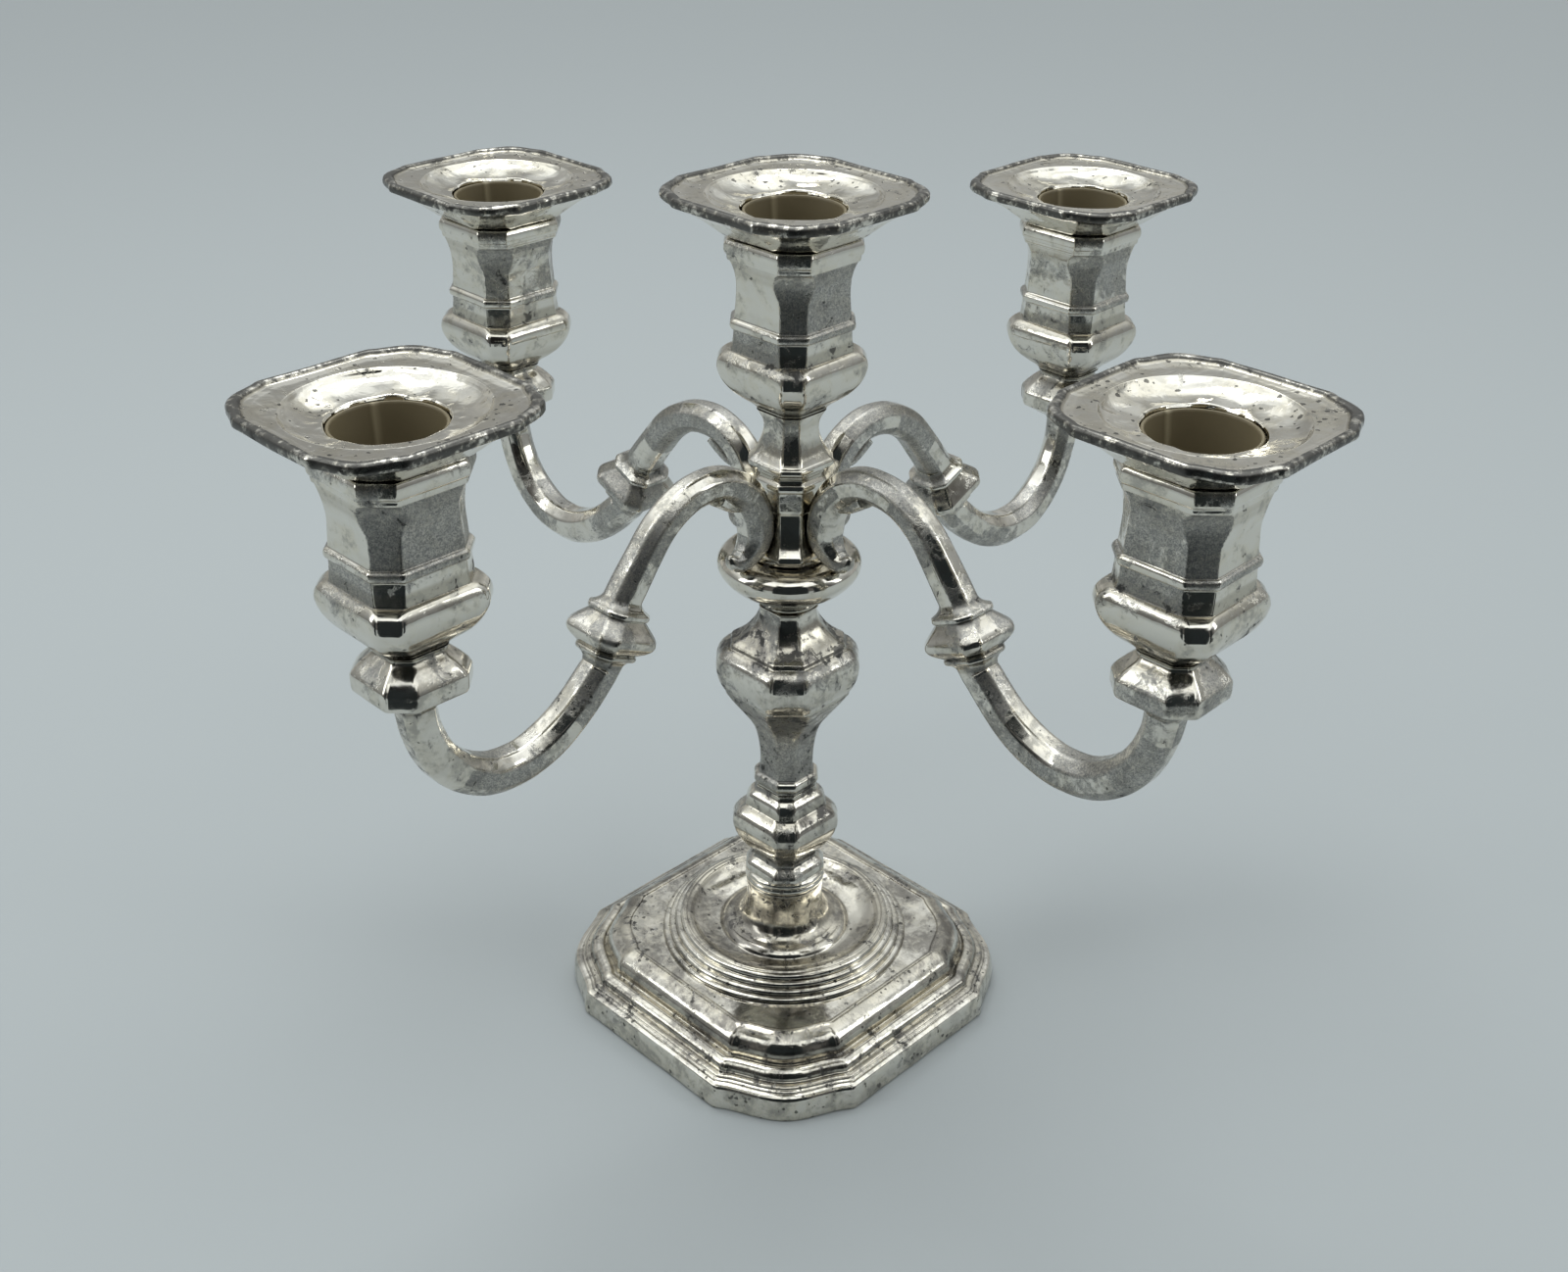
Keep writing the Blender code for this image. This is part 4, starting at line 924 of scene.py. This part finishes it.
LOOKS = {"cup": dict(haze=0.45, frost=0.70, stain=0.45, speck=0.65, edge=0.85, smoke=0.1),
         "drip": dict(haze=0.20, frost=0.00, stain=0.62, speck=1.15, rim=0.95, smoke=0.1,
                      crinkle=0.40),
         "arm": dict(haze=0.65, frost=0.78, stain=0.55, speck=0.65, edge=0.45, smoke=0.35),
         "branch": dict(haze=0.50, frost=0.25, stain=0.30, speck=0.50, edge=0.4, smoke=0.2),
         "base": dict(haze=0.60, frost=0.10, stain=0.55, speck=1.05, smoke=0.80),
         "stem": dict(haze=0.60, frost=0.50, stain=0.80, speck=0.70, edge=0.3, smoke=0.9),
         "ball": dict(haze=0.40, frost=0.10, stain=0.45, speck=0.50, smoke=0.3)}
for k, thing in enumerate(silver):
    kind = thing.name.split("_")[1]
    thing.data.materials.append(silver_material("plate_" + thing.name, k + 1, **LOOKS[kind]))
liner = liner_material()
for thing in sleeves:
    thing.data.materials.append(liner)
brass = plain_metal("rod_brass_worn", (0.60, 0.46, 0.22), (0.28, 0.20, 0.10), 0.35)
steel = plain_metal("screw_steel_worn", (0.45, 0.45, 0.46), (0.20, 0.18, 0.16), 0.40)
tin = plain_metal("cover_tin_worn", (0.44, 0.43, 0.40), (0.22, 0.20, 0.17), 0.50)
for node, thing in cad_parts.items():
    for start, look in (("tie_", brass), ("cup_screw", steel), ("base_cover", tin)):
        if node.startswith(start):
            for slot in thing.material_slots:
                slot.material = look

# -------------------------------------------------------------------- stage
floor_mesh = bpy.data.meshes.new("floor")
FLOOR_HALF = 6.0
corners = [(x * FLOOR_HALF, y * FLOOR_HALF, 0) for x, y in ((-1, -1), (1, -1), (1, 1), (-1, 1))]
floor_mesh.from_pydata(corners, [], [(0, 1, 2, 3)])
floor = bpy.data.objects.new("floor", floor_mesh)
floor.location = (0, 0, -0.0003)
bpy.context.scene.collection.objects.link(floor)
pale = bpy.data.materials.new("floor_pale")
shader = Nodes(pale).shader
shader.inputs["Base Color"].default_value = (0.392, 0.422, 0.430, 1.0)
shader.inputs["Roughness"].default_value = 0.75
floor.data.materials.append(pale)

# camera, fitted to the photograph: focal length and picture centre are in its pixels
AZIMUTH, ELEVATION, ROLL = math.radians(44.3), math.radians(27.48), math.radians(0.85)
DISTANCE, TARGET_Z = 0.48272, 0.13563
PHOTO_W, PHOTO_H, FOCAL, CENTRE_X, CENTRE_Y = 1600, 1298, 1869.28, 805.351, 576.408
SENSOR = 36.0
back = Vector((math.sin(AZIMUTH) * math.cos(ELEVATION), -math.cos(AZIMUTH) * math.cos(ELEVATION),
               math.sin(ELEVATION)))
right = Vector((math.cos(AZIMUTH), math.sin(AZIMUTH), 0.0))
up = back.cross(right)
right2 = right * math.cos(ROLL) + up * math.sin(ROLL)
up2 = up * math.cos(ROLL) - right * math.sin(ROLL)
camera_data = bpy.data.cameras.new("camera")
camera = bpy.data.objects.new("camera", camera_data)
bpy.context.scene.collection.objects.link(camera)
camera_data.sensor_width = SENSOR
camera_data.lens = FOCAL / PHOTO_W * SENSOR
camera_data.shift_x = (PHOTO_W / 2 - CENTRE_X) / PHOTO_W
camera_data.shift_y = (CENTRE_Y - PHOTO_H / 2) / PHOTO_W
turn = Matrix((right2, up2, back)).transposed()
spot = Vector((0, 0, TARGET_Z)) + back * DISTANCE
camera.matrix_world = Matrix.Translation(spot) @ turn.to_4x4()
bpy.context.scene.camera = camera


def area(name, spot, aim, width, height, power, colour=(1, 1, 1)):
    data = bpy.data.lights.new(name, "AREA")
    data.shape = "RECTANGLE"
    data.size, data.size_y = width, height
    data.energy = power
    data.color = colour
    lamp = bpy.data.objects.new(name, data)
    lamp.location = spot
    lamp.rotation_euler = (Vector(aim) - Vector(spot)).to_track_quat("-Z", "Y").to_euler()
    bpy.context.scene.collection.objects.link(lamp)


def around_camera(bearing, distance, height):
    """A spot at a bearing from the camera's side: 0 at the camera, 90 to its right."""
    a = AZIMUTH + math.radians(bearing)
    return (math.sin(a) * distance, -math.cos(a) * distance, height)


area("overhead", around_camera(200, 0.40, 1.25), (0, 0, 0.1), 0.60, 0.42, 4.2, (0.97, 1.0, 1.0))
area("strip_left", around_camera(-78, 0.95, 0.70), (0, 0, 0.12), 0.22, 0.70, 1.5, (0.96, 1.0, 1.0))
area("strip_right", around_camera(82, 1.0, 0.66), (0, 0, 0.12), 0.20, 0.60, 1.1, (0.96, 1.0, 1.0))

# black studio flags in front, seen only in the polished metal: left, right, top
FLAGS = ((-0.37, -0.225, 0.36), (-0.145, 0.165, 0.46), (0.215, 0.37, 0.36))
flag_verts, flag_faces = [], []
for left_edge, right_edge, top in FLAGS:
    first = len(flag_verts)
    flag_verts += [(left_edge, 0, 0), (right_edge, 0, 0), (right_edge, 0, top), (left_edge, 0, top)]
    flag_faces.append((first, first + 1, first + 2, first + 3))
flag_mesh = bpy.data.meshes.new("flag")
flag_mesh.from_pydata(flag_verts, [], flag_faces)
flag = bpy.data.objects.new("flag", flag_mesh)
flag.location = around_camera(0, 0.30, 0.001)
flag.rotation_euler = (0, 0, AZIMUTH)
bpy.context.scene.collection.objects.link(flag)
black = bpy.data.materials.new("flag_black")
shader = Nodes(black).shader
shader.inputs["Base Color"].default_value = (0.028, 0.033, 0.036, 1.0)
shader.inputs["Roughness"].default_value = 1.0
shader.inputs["Specular IOR Level"].default_value = 0.0
flag_mesh.materials.append(black)
flag.visible_camera = False
flag.visible_diffuse = False
flag.visible_shadow = False

# surroundings, by direction alone: grey room, bright ceiling, dark column in front
world = bpy.data.worlds.new("studio")
bpy.context.scene.world = world
n = Nodes(world)
n.tree.nodes.clear()
out = n.add("ShaderNodeOutputWorld")
sky = n.add("ShaderNodeBackground")
coords = n.add("ShaderNodeTexCoord")
split = n.add("ShaderNodeSeparateXYZ")
glow_ramp = n.add("ShaderNodeValToRGB")
n.link(coords.outputs["Generated"], split.inputs[0])
n.link(split.outputs["Z"], glow_ramp.inputs["Fac"])
HEIGHTS = ((0.0, 0.25), (0.10, 0.27), (0.30, 0.33), (0.44, 0.48), (0.50, 0.60), (0.64, 0.80),
           (0.70, 1.35), (0.90, 1.45), (1.0, 1.25))
BACKDROP, DIM, DARK = (0.43, 0.44, 0.435), (0.10, 0.10, 0.10), (0.012, 0.012, 0.012)
BEHIND_OBJECT = (0.40, 0.44, 0.455)
stops = glow_ramp.color_ramp.elements
while len(stops) < len(HEIGHTS):
    stops.new(0.5)
for stop, (where, glow) in zip(stops, HEIGHTS):
    stop.position = where
    stop.color = (0.96 * glow, glow, 1.01 * glow, 1)


def direction_part(x, y):
    """Dot product of the sky direction with a level direction."""
    a = n.math("MULTIPLY", split.outputs["X"], x)
    return n.math("ADD", a, n.math("MULTIPLY", split.outputs["Y"], y))


toward = direction_part(math.sin(AZIMUTH), -math.cos(AZIMUTH))
across = n.math("ABSOLUTE", direction_part(math.cos(AZIMUTH), math.sin(AZIMUTH)))
height = split.outputs["Z"]
room = glow_ramp.outputs["Color"]
# the side behind the object is a pale backdrop, the side of the camera a dim room
far_side = n.math("MULTIPLY", n.ramp(toward, -0.1, -0.6), n.ramp(height, 0.55, 0.30))
room = n.colour(far_side, room, BACKDROP)
near_side = n.math("MULTIPLY", n.ramp(toward, 0.10, 0.45), n.ramp(height, 0.80, 0.60))
room = n.colour(near_side, room, DIM)
blotch = n.add("ShaderNodeTexNoise")
blotch.inputs["Scale"].default_value = 2.6
blotch.inputs["Detail"].default_value = 2.0
n.link(coords.outputs["Generated"], blotch.inputs["Vector"])
uneven = n.math("ADD", n.math("MULTIPLY", blotch.outputs["Fac"], 1.3), 0.35)
tint = n.add("ShaderNodeCombineColor")
for socket in tint.inputs[:3]:
    n.link(uneven, socket)
room = n.colour(1.0, room, tint.outputs[0], "MULTIPLY")
column = n.math("MULTIPLY", n.ramp(across, 0.31, 0.27), n.ramp(toward, 0.15, 0.25))
column = n.math("MULTIPLY", column, n.ramp(height, 0.86, 0.80))
room = n.colour(column, room, DARK)
path = n.add("ShaderNodeLightPath")
room = n.colour(path.outputs["Is Camera Ray"], room, BEHIND_OBJECT)
n.link(room, sky.inputs["Color"])
n.link(sky.outputs[0], out.inputs["Surface"])
bpy.context.scene.view_settings.view_transform = "Standard"
